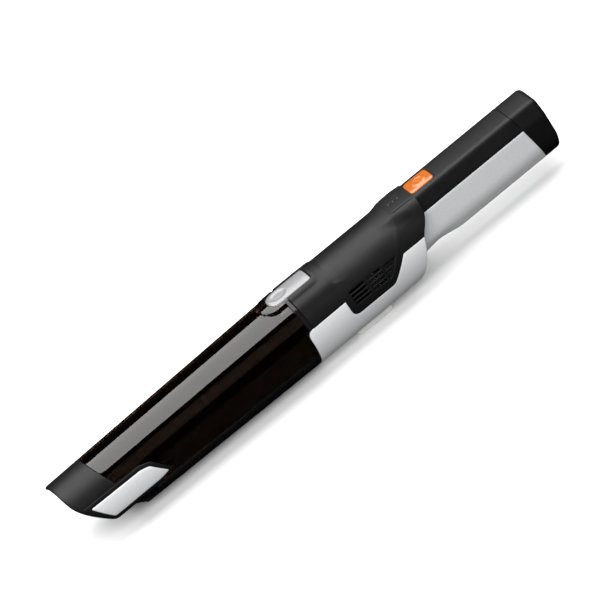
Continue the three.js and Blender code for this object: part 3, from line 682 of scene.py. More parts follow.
def notch_plan(half_width, front_x, nose):
    return rounded(
        [(front_x, -half_width), (6, -half_width), (6, half_width), (front_x, half_width)],
        [nose, 0, 0, nose],
        10,
    )


def dust_cup():
    surface, unroll = barrel(cup_radius, cup_axis)
    edge_z = BELLY_Z + GAP / 2
    seam_v = unroll(nose_seam_x(TAB_TOP_Z), TAB_TOP_Z + GAP)[1]
    front = slanted(lambda z: nose_seam_x(z) + GAP, surface, 0, seam_v)
    tab = [(x + GAP, z + GAP * (1 if i == 0 else 0)) for i, (x, z) in enumerate(TAB)]
    tab += [(BELLY_FRONT_X, edge_z)]
    rear = [
        (LOWER_FRONT_X - GAP, edge_z),
        (LOWER_FRONT_X - GAP, SEAM_HIGH_Z + GAP),
        (CUP_REAR_X, SEAM_HIGH_Z + GAP),
    ]
    half = front + unrolled(unroll, tab + rear) + [(CUP_REAR_X, 0)]
    cup = panel("dust_cup", half, surface, step=(5, 1.5), edge=0.45)
    # A raised pad with sloping sides surrounds the notch for the front of the latch.
    turn, skirt, rise = 13, 2.4, 1.9
    half_width, front_x = NOTCH_HALF_WIDTH + 5, -23.4

    def pad_top(x, y, depth=0.0):
        ahead = max(0.0, front_x + turn - x)
        aside = max(0.0, abs(y) - (half_width - turn))
        raised = smooth((turn - math.hypot(ahead, aside)) / skirt)
        radius = cup_radius(x) + lerp(-0.25, rise, raised)
        return (x, y, math.sqrt(radius**2 - y * y) + cup_axis(x) - depth)

    bends = [math.pi / 2 * k / 20 for k in range(21)]
    half = [
        (front_x + turn * (1 - math.cos(t)), half_width - turn * (1 - math.sin(t))) for t in bends
    ]
    half = [(front_x, 0)] + half + [(CUP_REAR_X, half_width), (CUP_REAR_X, 0)]
    pad = skin(
        "pad", mirrored(half), pad_top, lambda x, y: (x, y, 26.9), edge=0.1, step=(1, 1), turns=1
    )
    unite(cup, pad)
    carve(cup, prism("cut", "xy", notch_plan(NOTCH_HALF_WIDTH, -14.2, 9.9), 28.9, 45))
    add(cup, "smoked_clear", "cup", "dust_cup")


def cup_rim():
    front, rear = CUP_REAR_X + GAP, COLLAR_FRONT_X - GAP
    inner_r, step_r, tongue_top_z = 29, 31.7, 29.9
    corners = [(front, inner_r), (front, CUP_R), (rear, CUP_R), (rear, inner_r)]
    upper = turned("cup_rim", rounded(corners, [0, 0.7, 0.7, 0], 4), sides=144)
    common(upper, prism("cut", "xz", rectangle(-9, 9, SEAM_HIGH_Z + GAP, 45), -40, 40))
    lower = [(front, step_r), (rear, step_r), (rear, inner_r), (front, inner_r)]
    unite(upper, turned("lower", lower, sides=144))
    notch = rectangle(-9, 9, -NOTCH_HALF_WIDTH, NOTCH_HALF_WIDTH)
    carve(upper, prism("cut", "xy", notch, tongue_top_z, 45))
    tongue = prism("tongue", "xy", rectangle(front + 0.1, 26, -6, 6), 28.8, tongue_top_z, bevel=0.25)
    barb = prism("barb", "xy", rectangle(22.6, 25.9, -5.9, 5.9), 28.9, 30.6, bevel=0.2)
    unite(upper, tongue, barb)
    add(upper, "black_gloss", "cup", "cup_rim")


def belly_radius(x, angle=0.0):
    return CUP_R + BELLY_TAPER * x


def belly_shell():
    surface, unroll = barrel(belly_radius, start=math.pi)
    edge_z = BELLY_Z - GAP / 2
    rear_x = LOWER_FRONT_X - GAP
    side = unrolled(unroll, [(BELLY_FRONT_X, edge_z), (rear_x, edge_z)], 4)
    half = [(BELLY_FRONT_X, 0)] + side + [(rear_x, 0)]
    shell = panel("belly_shell", half, surface, step=(5, 1.5))
    radius = belly_radius(BELLY_FRONT_X) - 0.8
    half_angle = math.acos(-edge_z / radius)
    arc = [math.pi + half_angle * (1 - 2 * k / 60) for k in range(61)]
    wall_outline = [(radius * math.sin(a), radius * math.cos(a)) for a in arc]
    wall = prism("wall", "yz", wall_outline, BELLY_FRONT_X + 0.2, BELLY_FRONT_X + WALL)
    unite(shell, wall)
    add(shell, "black_satin", "cup", "belly_shell")


# ---- Nozzle ----
def ray_length(outline, centre_z, angle):
    """How far a star-shaped outline of (y, z) points reaches from the axis at an angle."""
    dy, dz = math.sin(angle), math.cos(angle)
    best = 0.0
    for (y0, z0), (y1, z1) in zip(outline, outline[1:] + outline[:1]):
        ey, ez = y1 - y0, z1 - z0
        bottom = dy * ez - dz * ey
        if abs(bottom) < 1e-9:
            continue
        z0c = z0 - centre_z
        t = (y0 * ez - z0c * ey) / bottom
        s = (y0 * dz - z0c * dy) / bottom
        if t > 0 and -1e-6 <= s <= 1 + 1e-6:
            best = max(best, t)
    return best


def mouth_outline(half_width, low, high):
    corners = rectangle(-half_width, half_width, low, high)
    return rounded(corners, [6, 6, half_width * 0.8, half_width * 0.8], 10)


THROAT = [(0, 27, -11.5, 29), (14, 24, -11.5, 27), (43.5, 14.5, -7.5, 19.5), (48.2, 14.5, -7.5, 19.5)]


def nozzle_rear_x(z):
    """Station of the nozzle's rear edge at a height, from the cup's seam down to the underside."""
    if z > TAB_TOP_Z:
        return nose_seam_x(z)
    corners = TAB + [(BELLY_FRONT_X - GAP, BELLY_Z), (BELLY_FRONT_X - GAP, -60)]
    for (x0, z0), (x1, z1) in zip(corners, corners[1:]):
        if z >= z1:
            return lerp(x0, x1, (z0 - z) / (z0 - z1))
    return corners[-1][0]


def nozzle():
    # The corners of the tabs and of the underside get rays of their own.
    middle_z = -1.1
    turning_z = [TAB_TOP_Z + 0.05, TAB_TOP_Z - 0.05] + [z for _, z in TAB[1:]] + [BELLY_Z]
    tops = [math.acos((z - middle_z) / 32.2) for z in turning_z]
    corner = math.acos((UNDERSIDE_Z - middle_z) / 31.8)
    angles = sorted(
        [a for a in np.linspace(0, math.pi, 85) if min(abs(a - t) for t in tops) > 0.012]
        + tops + [corner - 0.02, corner, corner + 0.02]
    )
    angles = angles + [-a for a in reversed(angles[1:-1])]
    throat = [(x, mouth_outline(w, low, high)) for x, w, low, high in THROAT]

    def outer_radius(x, angle):
        """The cup's cone, cut by the flat underside and the sloping flanks beside it."""
        drop = cup_axis(x) - UNDERSIDE_Z
        limits = [
            (drop, -math.cos(angle)),
            (drop + KEEL_SLOPE * KEEL_HALF_WIDTH, KEEL_SLOPE * abs(math.sin(angle)) - math.cos(angle)),
        ]
        radii = [cup_radius(x)] + [reach / facing for reach, facing in limits if facing > 0.15]
        blend = 0.5
        return -blend * math.log(sum(math.exp(-radius / blend) for radius in radii))

    def outer(x, angle, depth=0.0):
        radius = outer_radius(x, angle) - depth
        return (x, radius * math.sin(angle), cup_axis(x) + radius * math.cos(angle))

    def solve(x_at_z, angle, depth=0.0):
        x = x_at_z(0)
        for _ in range(12):
            x = x_at_z(outer(x, angle, depth)[2])
        return x

    def edge(x, angle, length, depth, steps):
        """Points round an edge at x, from the surface to the edge's own depth."""
        turns = [math.pi / 2 * k / steps for k in range(steps + 1)]
        return [
            outer(x + length * (1 - math.sin(t)), angle, depth * (1 - math.cos(t))) for t in turns
        ]

    lip, lip_depth, back, wall_front = 3.4, 1.5, 0.4, 17
    rings = []
    for angle in angles:
        front, rear = solve(mouth_x, angle), solve(nozzle_rear_x, angle)
        ring = edge(front, angle, lip, lip_depth, 6)[::-1]
        ring += [outer(lerp(front + lip, rear - back, k / 14), angle) for k in range(1, 14)]
        ring += edge(rear, angle, -back, back, 3)
        ring += [outer(rear, angle, WALL), outer(front + wall_front, angle, WALL)]
        inner = []
        for i, (dx, shape) in enumerate(throat):
            # The front half of the throat follows the slanted mouth, and the rear half is upright.
            x = (front if i < 2 else MOUTH_TOP_X) + dx
            reach = min(ray_length(shape, cup_axis(x), angle), outer_radius(x, angle) - 1.9)
            z = cup_axis(x) + reach * math.cos(angle)
            if i == 0:
                x = mouth_x(z)
            inner.append((x, reach))
        wall = [(x, min(reach + 1.5, 29)) for x, reach in inner]
        for x, reach in wall[1:] + inner[::-1]:
            ring.append((x, reach * math.sin(angle), cup_axis(x) + reach * math.cos(angle)))
        rings.append(ring)
    body = wrapped("nozzle", rings)
    pocket = prism("cut", "yz", rounded(rectangle(-17.5, 17.5, -21, -13.3), 1.5), -262, -179)
    slot = prism("cut", "xy", rounded(rectangle(-209, -178, -5.3, 5.3), 2), -30, -20)
    carve(body, pocket, slot)
    return body


def cheeks(body):
    """Raised bezels on the nozzle, and the light trims that they frame."""
    base = rounded(CHEEK, 2)
    lowest = UNDERSIDE_Z + 3
    for side, mirror in (("right", -1), ("left", 1)):
        proud, unroll = proud_cup(0.4)
        flush = proud_cup(0.75)[0]

        def to_side(surface, x, v, depth=0.0):
            px, py, pz = surface(x, v, depth)
            return (px, py * mirror, pz)

        outer = [(x, max(z, lowest)) for x, z in densified(rounded(grown(CHEEK, 3.1), 2.5), 1.2)]
        outer = [(min(x, nozzle_rear_x(z)) if x > -200 else max(x, mouth_x(z) + 1.0), z) for x, z in outer]
        bezel_outline = [unroll(x, z) for x, z in outer]
        hole = [unroll(x, z) for x, z in densified(rounded(grown(CHEEK, GAP + 0.1), 2), 1.2)]
        bezel = skin(
            "bezel", bezel_outline, lambda x, v, d=0.0: to_side(proud, x, v, d),
            lambda x, v: to_side(proud, x, v, 2.0), holes=[hole], edge=0.5, step=(3, 1.4),
        )
        unite(body, bezel)
        trim_outline = [unroll(x, z) for x, z in densified(base, 1.2)]
        trim = skin(
            f"nozzle_trim_{side}", trim_outline, lambda x, v, d=0.0: to_side(flush, x, v, d * 0.75),
            lambda x, v: to_side(flush, x, v, 1.1), edge=1.3, step=(3, 1.4),
        )
        add(trim, "silver_satin", "cup", f"nozzle_trim_{side}", angle=25)
    add(body, "black_satin", "cup", "nozzle")


# ---- Brush under the mouth ----
def brush():
    profile = [
        (-193.5, UNDERSIDE_Z - GAP), (-190, -25), (-187, -26), (-184, -27.6), (-181, -29.6),
        (-177.5, -32.6), (BELLY_FRONT_X - GAP, -34.4), (BELLY_FRONT_X - GAP, UNDERSIDE_Z - GAP),
    ]
    knob = prism("brush_slider", "xz", profile, -40, 40)
    stations = (BELLY_FRONT_X - 25, BELLY_FRONT_X + 5)
    turns = np.linspace(0, 2 * math.pi, 96, endpoint=False)
    rings = [
        [(x, belly_radius(x) * math.sin(a), belly_radius(x) * math.cos(a)) for a in turns]
        for x in stations
    ]
    common(knob, wrapped("cut", rings, closed=False))
    plan = [(-193.5, 0), (-193.5, 13.5), (-187, 17), (-184, 19.5), (-181, 23), (-170, 33), (-170, 0)]
    common(knob, prism("cut", "xy", mirrored(plan), -40, -20))
    soften(knob, 0.8, angle=30)
    neck = prism("neck", "xy", rectangle(-190, -181, -5, 5), -25.8, -20)
    plate = prism("plate", "xy", rectangle(-194, -181, -14, 14), -20.7, -19.2)
    bar = prism("bar", "yz", rounded(rectangle(-17, 17, -20.7, -13.6), 1.2), -199, -192, bevel=0.4)
    unite(knob, neck, plate, bar)
    add(knob, "black_satin", "brush", "brush_slider")


def bristles():
    """Two rows of tufts, whose fibres spread towards their tips."""
    front, back = span("brush_bristles", "x")
    low, high = span("brush_bristles", "z")
    points, faces = [], []
    tufts, fibres, sides, spread = 15, 9, 5, 1.9
    for line, z in enumerate((lerp(low, high, 0.28), lerp(low, high, 0.72))):
        for tuft in range(tufts):
            y0 = lerp(-14.6, 14.6, (tuft + 0.5 * (line + 0.5)) / tufts)
            for fibre in range(fibres):
                turn = 2.4 * fibre
                reach = 0.32 * math.sqrt(fibre)
                y, dz = y0 + reach * math.sin(turn), reach * math.cos(turn)
                tip = front + 0.5 * (fibre % 3) + 0.3
                first = len(points)
                for x, radius, fan in ((back, 0.16, 1.0), (tip, 0.09, spread)):
                    for k in range(sides):
                        a = 2 * math.pi * k / sides
                        fy = y0 + (y - y0) * fan + radius * math.sin(a)
                        fz = min(high - 0.1, max(low + 0.1, z + dz * fan + radius * math.cos(a)))
                        points.append((x, fy, fz))
                root = list(range(first, first + sides))
                end = [k + sides for k in root]
                for k in range(sides):
                    n = (k + 1) % sides
                    faces.append((root[k], root[n], end[n], end[k]))
                faces += [root[::-1], end]
    add(new_object("brush_bristles", points, faces), "bristle_fibre", "brush", "brush_bristles")


# ---- Motor housing ----
def housing_radius(x, angle):
    z = HOUSING_R * math.cos(angle)
    radius = lerp(CUP_R, HOUSING_R, min(1.0, max(0.0, (x - LOWER_FRONT_X) / 45)))
    ridge = ridge_x(z)
    if x > ridge:
        radius -= 2.2 * (x - ridge) / (150 - ridge)
    return radius


LATCH_OPENING = {"rear_x": LATCH_X[1] + 0.8, "half_width": LATCH_HALF_WIDTH + 0.35, "corner": 4.5}
BEZEL_RISE, BEZEL_WIDTH, BEZEL_SLOPE = 1.2, 2.4, 2.8


def upper_radius(x, angle):
    """The housing with its collar, the bezel round the latch and the ridge ahead of the shoulder."""
    z, y = HOUSING_R * math.cos(angle), HOUSING_R * math.sin(angle)
    radius = housing_radius(x, angle)
    collar_end = 36 + 3.6 * max(0.0, 26 - z)
    slope = 3.5 + 0.4 * max(0.0, 26 - z)
    radius += 1.0 * smooth((z - 22) / 6) * (1 - smooth((x - collar_end) / slope))
    dx = x - (LATCH_OPENING["rear_x"] - LATCH_OPENING["corner"])
    dy = abs(y) - (LATCH_OPENING["half_width"] - LATCH_OPENING["corner"])
    apart = math.hypot(max(0.0, dx), max(0.0, dy)) - LATCH_OPENING["corner"]
    radius += BEZEL_RISE * (1 - smooth((apart - BEZEL_WIDTH) / BEZEL_SLOPE))
    # The handle's crown runs forward over the housing, and a facet rises to meet its edges.
    bend, edge_bend = abs(angle), 0.37
    side = CROWN_HALF_WIDTH if bend > edge_bend else 34.6 * math.tan(bend)
    start = min(ridge_x(z), lerp(97, 90, smooth(bend / 0.35)) + 50 * max(0.0, bend - 0.36))
    side = min(side, CROWN_HALF_WIDTH)
    rise = math.hypot(side, crown_z(side) + pad_lift(x)) - radius
    length = lerp(12, 24, smooth(bend / 0.35))
    radius += rise * (1 - smooth((bend - edge_bend) / 0.5)) * smooth((x - start) / length)
    radius += 0.3 * math.exp(-(((x - ridge_x(z)) / 1.3) ** 2)) * smooth((z - 2) / 6)
    return radius


def seam_line(drop):
    """The seam between upper and lower housing in side view, front to rear, moved down by a drop."""
    corners = [
        (35.5 - drop, SEAM_HIGH_Z - drop),
        (35.5 - drop, SEAM_LOW_Z - drop),
        (78 + drop / 2, SEAM_LOW_Z - drop),
        (96.6 + drop / 2, SEAM_HIGH_Z - drop),
    ]
    return rounded(corners, [0, 7.5, 3, 0])


VENT_ANGLES = [65.4, 71.5, 77.5, 83.6]
VENT_X = [(42, 57.5), (60.4, 74.2)]
RECESS_X = (75.9, 79, 90.2)
RECESS_Z = (2.3, 14.2)
PAD_OPENING = {"front_x": 110, "half_width": 12}


def vent_holes():
    holes = []
    for side in (-1, 1):
        for angle in VENT_ANGLES:
            v = side * math.radians(angle) * HOUSING_R
            holes += [rounded(rectangle(a, b, v - 1.15, v + 1.15), 0.7, 3) for a, b in VENT_X]
    return holes


def rear_wall(outline):
    """A wall on the housing's shoulder, seen from behind as an outline of (y, z) points."""

    def surface(y, z, depth=0.0):
        return (shoulder_x(z) - 0.7 - depth, y, z)

    return skin("wall", outline, surface, lambda y, z: surface(y, z, 1.6), edge=0.2, step=(2.5, 2.5))


def shoulder_arc(z_from, z_to, count=24):
    """Half widths of the housing's rear edge between two heights, as (y, z) points."""
    out = []
    for k in range(count + 1):
        z = lerp(z_from, z_to, k / count)
        radius = housing_radius(shoulder_x(z), math.acos(max(-1, min(1, z / HOUSING_R)))) - 0.9
        out.append((math.sqrt(max(0.0, radius**2 - z**2)), z))
    return out


def upper_shell():
    surface, unroll = barrel(upper_radius)
    flat = HOUSING_R * math.asin(LATCH_OPENING["half_width"] / 36.5)
    notch = rounded(
        [(LATCH_OPENING["rear_x"], 0), (LATCH_OPENING["rear_x"], flat), (COLLAR_FRONT_X, flat)],
        [0, LATCH_OPENING["corner"], 0],
    )
    corner_v = unroll(COLLAR_FRONT_X, SEAM_HIGH_Z)[1]
    seam = unrolled(unroll, seam_line(0) + [(shoulder_x(SEAM_HIGH_Z), SEAM_HIGH_Z)])
    pad_v = HOUSING_R * math.atan(PAD_OPENING["half_width"] / crown_z(0))
    rear = slanted(shoulder_x, surface, seam[-1][1], pad_v)
    half = notch + [(COLLAR_FRONT_X, corner_v)] + seam + rear[1:]
    half += [(PAD_OPENING["front_x"], pad_v), (PAD_OPENING["front_x"], 0)]
    ridge = [unroll(ridge_x(z), z) for z in np.linspace(12.6, 31, 24)]
    low_z, high_z = RECESS_Z
    front_x, low_x, high_x = RECESS_X
    recess = [(front_x, high_z), (high_x, high_z), (low_x, low_z), (front_x, low_z)]
    recess_v = [unroll(x, z) for x, z in densified(rounded(recess, 0.8), 1.0)]
    holes = vent_holes() + [recess_v, [(x, -v) for x, v in recess_v]]
    creases = [ridge, [(x, -v) for x, v in ridge]]
    shell = panel("upper_shell", half, surface, holes=holes, step=(1.8, 1.6), creases=creases)
    # Floors of the recesses behind the vents, with the rows of slots running on into them.
    sunk = barrel(lambda x, angle: housing_radius(x, angle) - 0.9)[0]
    for side in (-1, 1):
        floor_v = [(x, side * v) for x, v in inset(recess_v, -0.5 if area(recess_v) > 0 else 0.5)]
        slots = []
        for angle in VENT_ANGLES:
            v = math.radians(angle) * HOUSING_R
            z = HOUSING_R * math.cos(math.radians(angle))
            end = lerp(low_x, high_x, (z - low_z) / (high_z - low_z)) - 2.5
            if end > 80.5:
                slots.append(rounded(rectangle(77.2, end, side * v - 0.6, side * v + 0.6), 0.3, 2))
        floor = skin(
            "floor", floor_v, sunk, lambda x, v: sunk(x, v, 0.9), holes=slots, edge=0.15,
            step=(1.6, 1.6), turns=1,
        )
        unite(shell, floor)
    wide, corner = LATCH_OPENING["half_width"], LATCH_OPENING["corner"]
    outside = wide + BEZEL_WIDTH
    plan = rounded(rectangle(2.95, 30.6, -outside, outside), [0, 4, 4, 0])
    bed = prism("bed", "xy", plan, 26.9, 40)
    common(bed, turned("cut", rod(0, 50, 34.6), sides=120))
    plan = rounded(rectangle(-10, LATCH_OPENING["rear_x"], -wide, wide), [0, corner, corner, 0])
    carve(bed, prism("cut", "xy", plan, 28.4, 45))
    unite(shell, bed)
    side_wall = shoulder_arc(SEAM_HIGH_Z, 27.4) + [(SHOULDER_OPENING_Y - 1, 25.8)]
    side_wall += [(SHOULDER_OPENING_Y, z) for z in (HANDLE_SEAM_Z, SEAM_HIGH_Z)]
    unite(shell, rear_wall(side_wall), rear_wall([(-y, z) for y, z in side_wall]))
    add(shell, "black_satin", "housing", "upper_shell")


def screw_post(x, skin_z, top_z):
    """A post inside a shell, bored for a screw's head and more narrowly for its shank."""
    low, step, outer_r, shank_r = skin_z + 1, skin_z + 2.6, 4.4, 1.5
    profile = [(low, outer_r), (top_z, outer_r), (top_z, shank_r)]
    profile += [(step, shank_r), (step, SCREW_HOLE_R), (low, SCREW_HOLE_R)]
    return turned("post", profile, axis="z", centre=(x, 0), sides=40)


def lower_shell():
    surface, unroll = barrel(housing_radius, start=math.pi)
    top_z = SEAM_HIGH_Z - GAP
    front_top = rounded([(LOWER_FRONT_X, -20), (LOWER_FRONT_X, top_z), (20, top_z)], [0, 7, 0])
    seam = front_top + seam_line(GAP) + [(shoulder_x(top_z), top_z)]
    upper = unrolled(unroll, seam)
    half = [(LOWER_FRONT_X, 0)] + upper + slanted(shoulder_x, surface, upper[-1][1], 0)[1:]
    holes = [oval(x, 0, SCREW_HOLE_R, SCREW_HOLE_R) for x in SCREW_X[:2]]
    shell = panel("lower_shell", half, surface, holes=holes, step=(2.2, 1.6))
    outer = shoulder_arc(top_z, -33)
    grip = [(10, -15.2)] + [(SHOULDER_OPENING_Y, z) for z in (GRIP_BEND_Z, top_z)]
    wall = outer + [(-y, z) for y, z in reversed(outer)] + [(-y, z) for y, z in reversed(grip)] + grip
    unite(shell, rear_wall(wall), *[screw_post(x, -HOUSING_R, -25) for x in SCREW_X[:2]])
    add(shell, "silver_satin", "housing", "lower_shell")


# ---- Handle ----
def handle_profile():
    """Half of the handle's section from its bottom to its top, as closely spaced (y, z) points."""
    corners = [(0, GRIP_BOTTOM_Z), (10, GRIP_BOTTOM_Z), (HANDLE_HALF_WIDTH, GRIP_BEND_Z)]
    corners += [(HANDLE_HALF_WIDTH, HANDLE_SEAM_Z), (CROWN_HALF_WIDTH, crown_z(CROWN_HALF_WIDTH))]
    crown = [(y, crown_z(y)) for y in np.linspace(0.7 * CROWN_HALF_WIDTH, 0, 7)]
    trims = [0, 4.5, 6.5, 1.6, 3] + [0] * len(crown)
    return densified(rounded(corners + crown, trims, 8), 0.5, closed=False)


PROFILE = np.array(handle_profile())
PROFILE_ARC = np.concatenate([[0], np.cumsum(np.linalg.norm(np.diff(PROFILE, axis=0), axis=1))])
PROFILE_LENGTH = PROFILE_ARC[-1]


def profile_at(arc):
    """The (y, z) of the handle's section at an arc from its bottom."""
    along = min(PROFILE_LENGTH, max(0.0, arc))
    return [float(np.interp(along, PROFILE_ARC, PROFILE[:, k])) for k in (0, 1)]


def handle_point(x, arc, depth=0.0):
    """A point of the handle's section at an arc from its bottom, negative on the right-hand side."""
    along, near = min(PROFILE_LENGTH, abs(arc)), 0.6
    y, z = profile_at(along)
    dy, dz = (a - b for a, b in zip(profile_at(along + near), profile_at(along - near)))
    if not near <= along <= PROFILE_LENGTH - near:
        dz = 0.0
    length = math.hypot(dy, dz)
    y, z = y - depth * dz / length, z + depth * dy / length
    dip = smooth((157 - x) / 25) * (1 - 0.6 * smooth((135 - x) / 24))
    bottom = GRIP_BOTTOM_Z + FINGER_RELIEF * dip
    if z < GRIP_BEND_Z:
        z = lerp(GRIP_BEND_Z, bottom, (GRIP_BEND_Z - z) / (GRIP_BEND_Z - GRIP_BOTTOM_Z))
    return (x, math.copysign(y, arc) if arc else 0.0, z)


def arc_at(z):
    return float(np.interp(z, PROFILE[:, 1], PROFILE_ARC))


def handle_shell():
    top = arc_at(HANDLE_SEAM_Z - GAP)
    front = slanted(lambda z: shoulder_x(z) + GAP, handle_point, 0, top)
    rear = slanted(lambda z: cap_seam_x(z) - GAP, handle_point, top, 0)
    holes = [oval(SCREW_X[2], 0, SCREW_HOLE_R, SCREW_HOLE_R)]
    shell = panel("handle_shell", front + rear, handle_point, holes=holes, step=(4, 1.4))
    unite(shell, screw_post(SCREW_X[2], GRIP_BOTTOM_Z, -10))
    add(shell, "silver_satin", "housing", "handle_shell")


def handle_top():
    """The black top of the handle. Its flat crown runs forward over the round housing as a pad."""

    def surface(x, v, depth=0.0):
        px, py, pz = handle_point(x, math.copysign(PROFILE_LENGTH - abs(v), v), depth)
        if v == 0:
            py = 0.0
        lift = pad_lift(x) - 2.9 * (1 - smooth((x - 100) / 12))
        return (px, py, pz + lift * smooth((pz - 22) / 10))

    seam = PROFILE_LENGTH - arc_at(HANDLE_SEAM_Z)
    rear = slanted(lambda z: cap_seam_x(z) - GAP, surface, seam, 0)
    strip = PAD_OPENING["half_width"] - GAP
    shoulder = slanted(lambda z: shoulder_x(z) - 0.5, surface, strip, seam)
    half = [(101, 0), (101, strip)] + shoulder + rear
    side = BUTTON_HALF_WIDTH + GAP
    button_hole = rounded(rectangle(BUTTON_X[0] + 1.1, BUTTON_X[1] - 1.1, -side, side), 4.4)
    holes = [button_hole] + [oval(x, 0, 1.15, 1.15, 16) for x in LAMP_X]
    shell = panel("handle_top", half, surface, holes=holes, step=(3, 1.4), edge=0.35)
    add(shell, "black_satin", "housing", "upper_shell")


def end_cap():
    socket_r, rim, turn_in = 4.8, 0.4, 5.0
    rings = []
    for arc in [*np.linspace(0, PROFILE_LENGTH, 90), *-np.linspace(PROFILE_LENGTH, 0, 90)[1:-1]]:
        seam = slanted(cap_seam_x, handle_point, arc, arc, 1)[0][0]

        def at(x, depth):
            return handle_point(x, arc, depth)

        def turn(x, reach, angles):
            """Points round an edge at x."""
            return [at(x + reach * (1 - math.sin(t)), abs(reach) * (1 - math.cos(t))) for t in angles]

        path = turn(seam, rim, np.linspace(math.pi / 2, 0, 4))
        path += [at(lerp(seam + rim, END_X - turn_in, k / 8), 0) for k in range(1, 8)]
        path += turn(END_X, -turn_in, np.linspace(0, math.pi / 2, 9))
        edge = path[-1]
        angle = math.atan2(edge[1], edge[2] - SOCKET_Z)
        hole = (socket_r * math.sin(angle), SOCKET_Z + socket_r * math.cos(angle))
        path += [(END_X, lerp(edge[1], hole[0], t), lerp(edge[2], hole[1], t)) for t in (0.33, 0.66, 0.94)]
        path += [(END_X - 0.3, *hole), (END_X - WALL, *hole)]
        inner = at(END_X - 3, WALL + 1.5)
        path += [(END_X - WALL, inner[1], inner[2]), at(END_X - 6, WALL), at(seam, WALL)]
        rings.append(path)
    cap = wrapped("end_cap", rings)
    carve(cap, turned("cut", rod(-30, -17.4, SCREW_HOLE_R), axis="z", centre=(SCREW_X[3], 0)))
    unite(cap, screw_post(SCREW_X[3], GRIP_BOTTOM_Z, -10))
    add(cap, "black_satin", "housing", "end_cap")


# ---- Latch, button, lamps and foot ----
def release_latch():
    x0, x1 = LATCH_X
    nose_r = LATCH_HALF_WIDTH - 0.1
    corners = rectangle(x0, x1, -LATCH_HALF_WIDTH, LATCH_HALF_WIDTH)
    plan = rounded(corners, [nose_r, 3.5, 3.5, nose_r], 14)

    def top(x, y):
        """A round back with an oval dimple, a raised line round that and a nose that bends down."""
        away = math.hypot((x + 1.5) / 8.8, y / 6.2)
        dimple = 1 - smooth((away - 0.55) / 0.45) - 0.22 * math.exp(-(((away - 1.0) / 0.07) ** 2))
        nose = 0.5 * smooth((x0 + 12 - x) / 12)
        return math.sqrt(LATCH_TOP_R**2 - y * y) - dimple - nose

    pivot = (6, 32.9)
    latch = topped("release_latch", plan, top, 31.2, edge=1.5, step=(0.9, 0.9), turns=5)
    hook = prism("hook", "xy", rectangle(19, 22, -5.5, 5.5), 30.9, 32, bevel=0.15)
    unite(latch, hook)
    bore = turned("cut", rod(-30, 30, 1.3), axis="y", centre=pivot)
    slot = prism("cut", "xy", rectangle(2.8, 9.2, -3.2, 3.2), 30, 35)
    carve(latch, bore, slot)
    add(latch, "bright_silver", "latch", "release_latch", angle=50)


def power_button():
    x0, x1 = BUTTON_X[0] + 1.4, BUTTON_X[1] - 1.4
    middle = (x0 + x1) / 2
    plan = rounded(rectangle(x0, x1, -BUTTON_HALF_WIDTH, BUTTON_HALF_WIDTH), 4, 8)

    def top(x, y):
        crown = 0.7 * (y / BUTTON_HALF_WIDTH) ** 2 + 0.25 * ((x - middle) / 11) ** 2
        ring = math.hypot((x - middle) / 5.2, y / 4.4)
        return BUTTON_TOP_Z - 0.45 - crown + 0.45 * math.exp(-(((ring - 1) / 0.14) ** 2))

    cap = topped("power_button", plan, top, 31, edge=1.1, step=(0.8, 0.8), turns=4)
    flange = prism("flange", "xy", rectangle(BUTTON_X[0], BUTTON_X[1], -6, 6), 30.2, 31.6, bevel=0.2)
    stem = turned("stem", rod(29.6, 31, 1.6), axis="z", centre=(145, 0), sides=24)
    unite(cap, flange, stem)
    add(cap, "orange_gloss", "button", "power_button", angle=50)


def button_spring():
    """A coil under the button."""
    low, high = span("button_spring", "z")
    left, right = span("button_spring", "x")
    centre_x, wire, turns, steps, sides = (left + right) / 2, 0.3, 3, 32, 10
    radius = (right - left) / 2 - wire
    rings = []
    for k in range(turns * steps + 1):
        turn = 2 * math.pi * k / steps
        z = lerp(low + wire, high - wire, k / (turns * steps))
        ring = []
        for i in range(sides):
            around = 2 * math.pi * i / sides
            reach = radius + wire * math.cos(around)
            ring.append((
                centre_x + reach * math.cos(turn), reach * math.sin(turn), z + wire * math.sin(around)
            ))
        rings.append(ring)
    coil = wrapped("button_spring", rings, closed=False)
    add(coil, "steel", "housing", "button_spring")
    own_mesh(coil)


def charge_lamps():
    profile = [(33, CORE_R), (33, 0.85), (35.2, 0.85), (35.5, 0.6), (35.6, 0.3), (35.62, CORE_R)]
    for i, x in enumerate(LAMP_X, 1):
        lamp = turned(f"charge_lamp_{i}", profile, axis="z", centre=(x, 0), sides=24)
        add(lamp, "lamp_lens", "housing", f"charge_lamp_{i}")


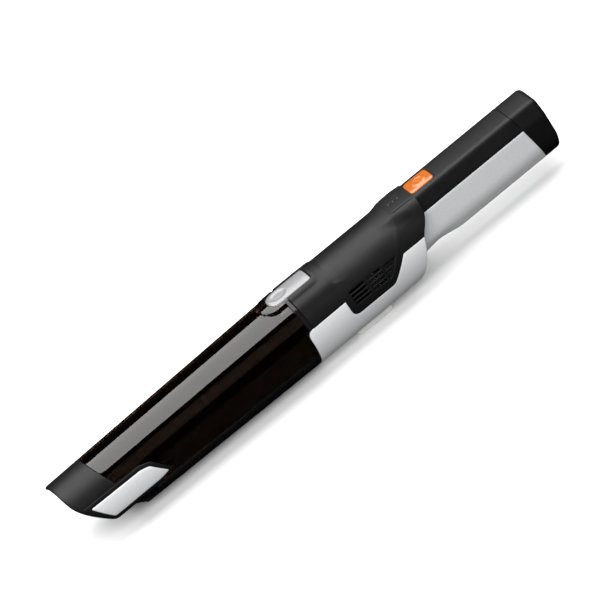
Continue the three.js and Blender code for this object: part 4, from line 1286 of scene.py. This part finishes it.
def foot_pad():
    foot = skin(
        "foot_pad", rounded(rectangle(*FOOT_X, -14, 14), 6, 8), lambda x, y, d=0.0: (x, y, FOOT_Z + d),
        lambda x, y: (x, y, -math.sqrt((HOUSING_R + GAP + 0.1) ** 2 - y * y)), edge=1.0, step=(3, 1.5),
    )
    add(foot, "pale_foot", "housing", "foot_pad", angle=50)


def shell_screws():
    slot_long, slot_short = 1.7, 0.4
    for i, x in enumerate(SCREW_X, 1):
        low, high = span(f"shell_screw_{i}", "z")
        profile = [(low, CORE_R), (low, 2.2), (low + 0.5, 2.7), (low + 1.8, 2.7), (low + 1.8, 1.2)]
        profile += [(high, 1.0), (high, CORE_R)]
        screw = turned(f"shell_screw_{i}", profile, axis="z", centre=(x, 0))
        for a, b in ((slot_long, slot_short), (slot_short, slot_long)):
            carve(screw, prism("cut", "xy", rectangle(x - a, x + a, -b, b), low - 1, low + 1.1))
        add(screw, "steel", "housing", f"shell_screw_{i}")


def charge_socket():
    cup = [(246, CORE_R), (246, 4.4), (259.3, 4.4), (259.6, 4.1), (259.6, 3.4), (259.3, 3.1)]
    cup += [(249, 3.1), (249, CORE_R)]
    socket = turned("charge_socket", cup, centre=(0, SOCKET_Z), sides=48)
    tip = [(248.9, CORE_R), (248.9, 0.7), (256.5, 0.7), (257.2, 0.35), (257.4, CORE_R)]
    pin = turned("pin", tip, centre=(0, SOCKET_Z), sides=24)
    unite(socket, pin)
    add(socket, "black_gloss", "housing", "charge_socket")


dust_cup()
cup_rim()
belly_shell()
cheeks(nozzle())
brush()
bristles()
upper_shell()
lower_shell()
handle_shell()
handle_top()
end_cap()
release_latch()
power_button()
button_spring()
charge_lamps()
foot_pad()
shell_screws()
charge_socket()

# ---- CAD nodes whose shape is right: finer edges and a real material ----
SLOT_OF_NODE = {entry["node"]: entry["material_slot"] for entry in frame["record"]["subparts"]}
for name, node in frame["nodes"].items():
    if node.hide_render:
        continue
    slot = SLOT_OF_NODE[name]
    node.data.materials.clear()
    node.data.materials.append(MATERIALS[slot])
    weld = node.modifiers.new("weld", "WELD")
    weld.merge_threshold = 1e-6
    bevel = node.modifiers.new("edges", "BEVEL")
    bevel.width = 0.15 * MM
    bevel.segments = 2
    bevel.limit_method = "ANGLE"
    bevel.angle_limit = math.radians(40)
    node.data.shade_smooth()
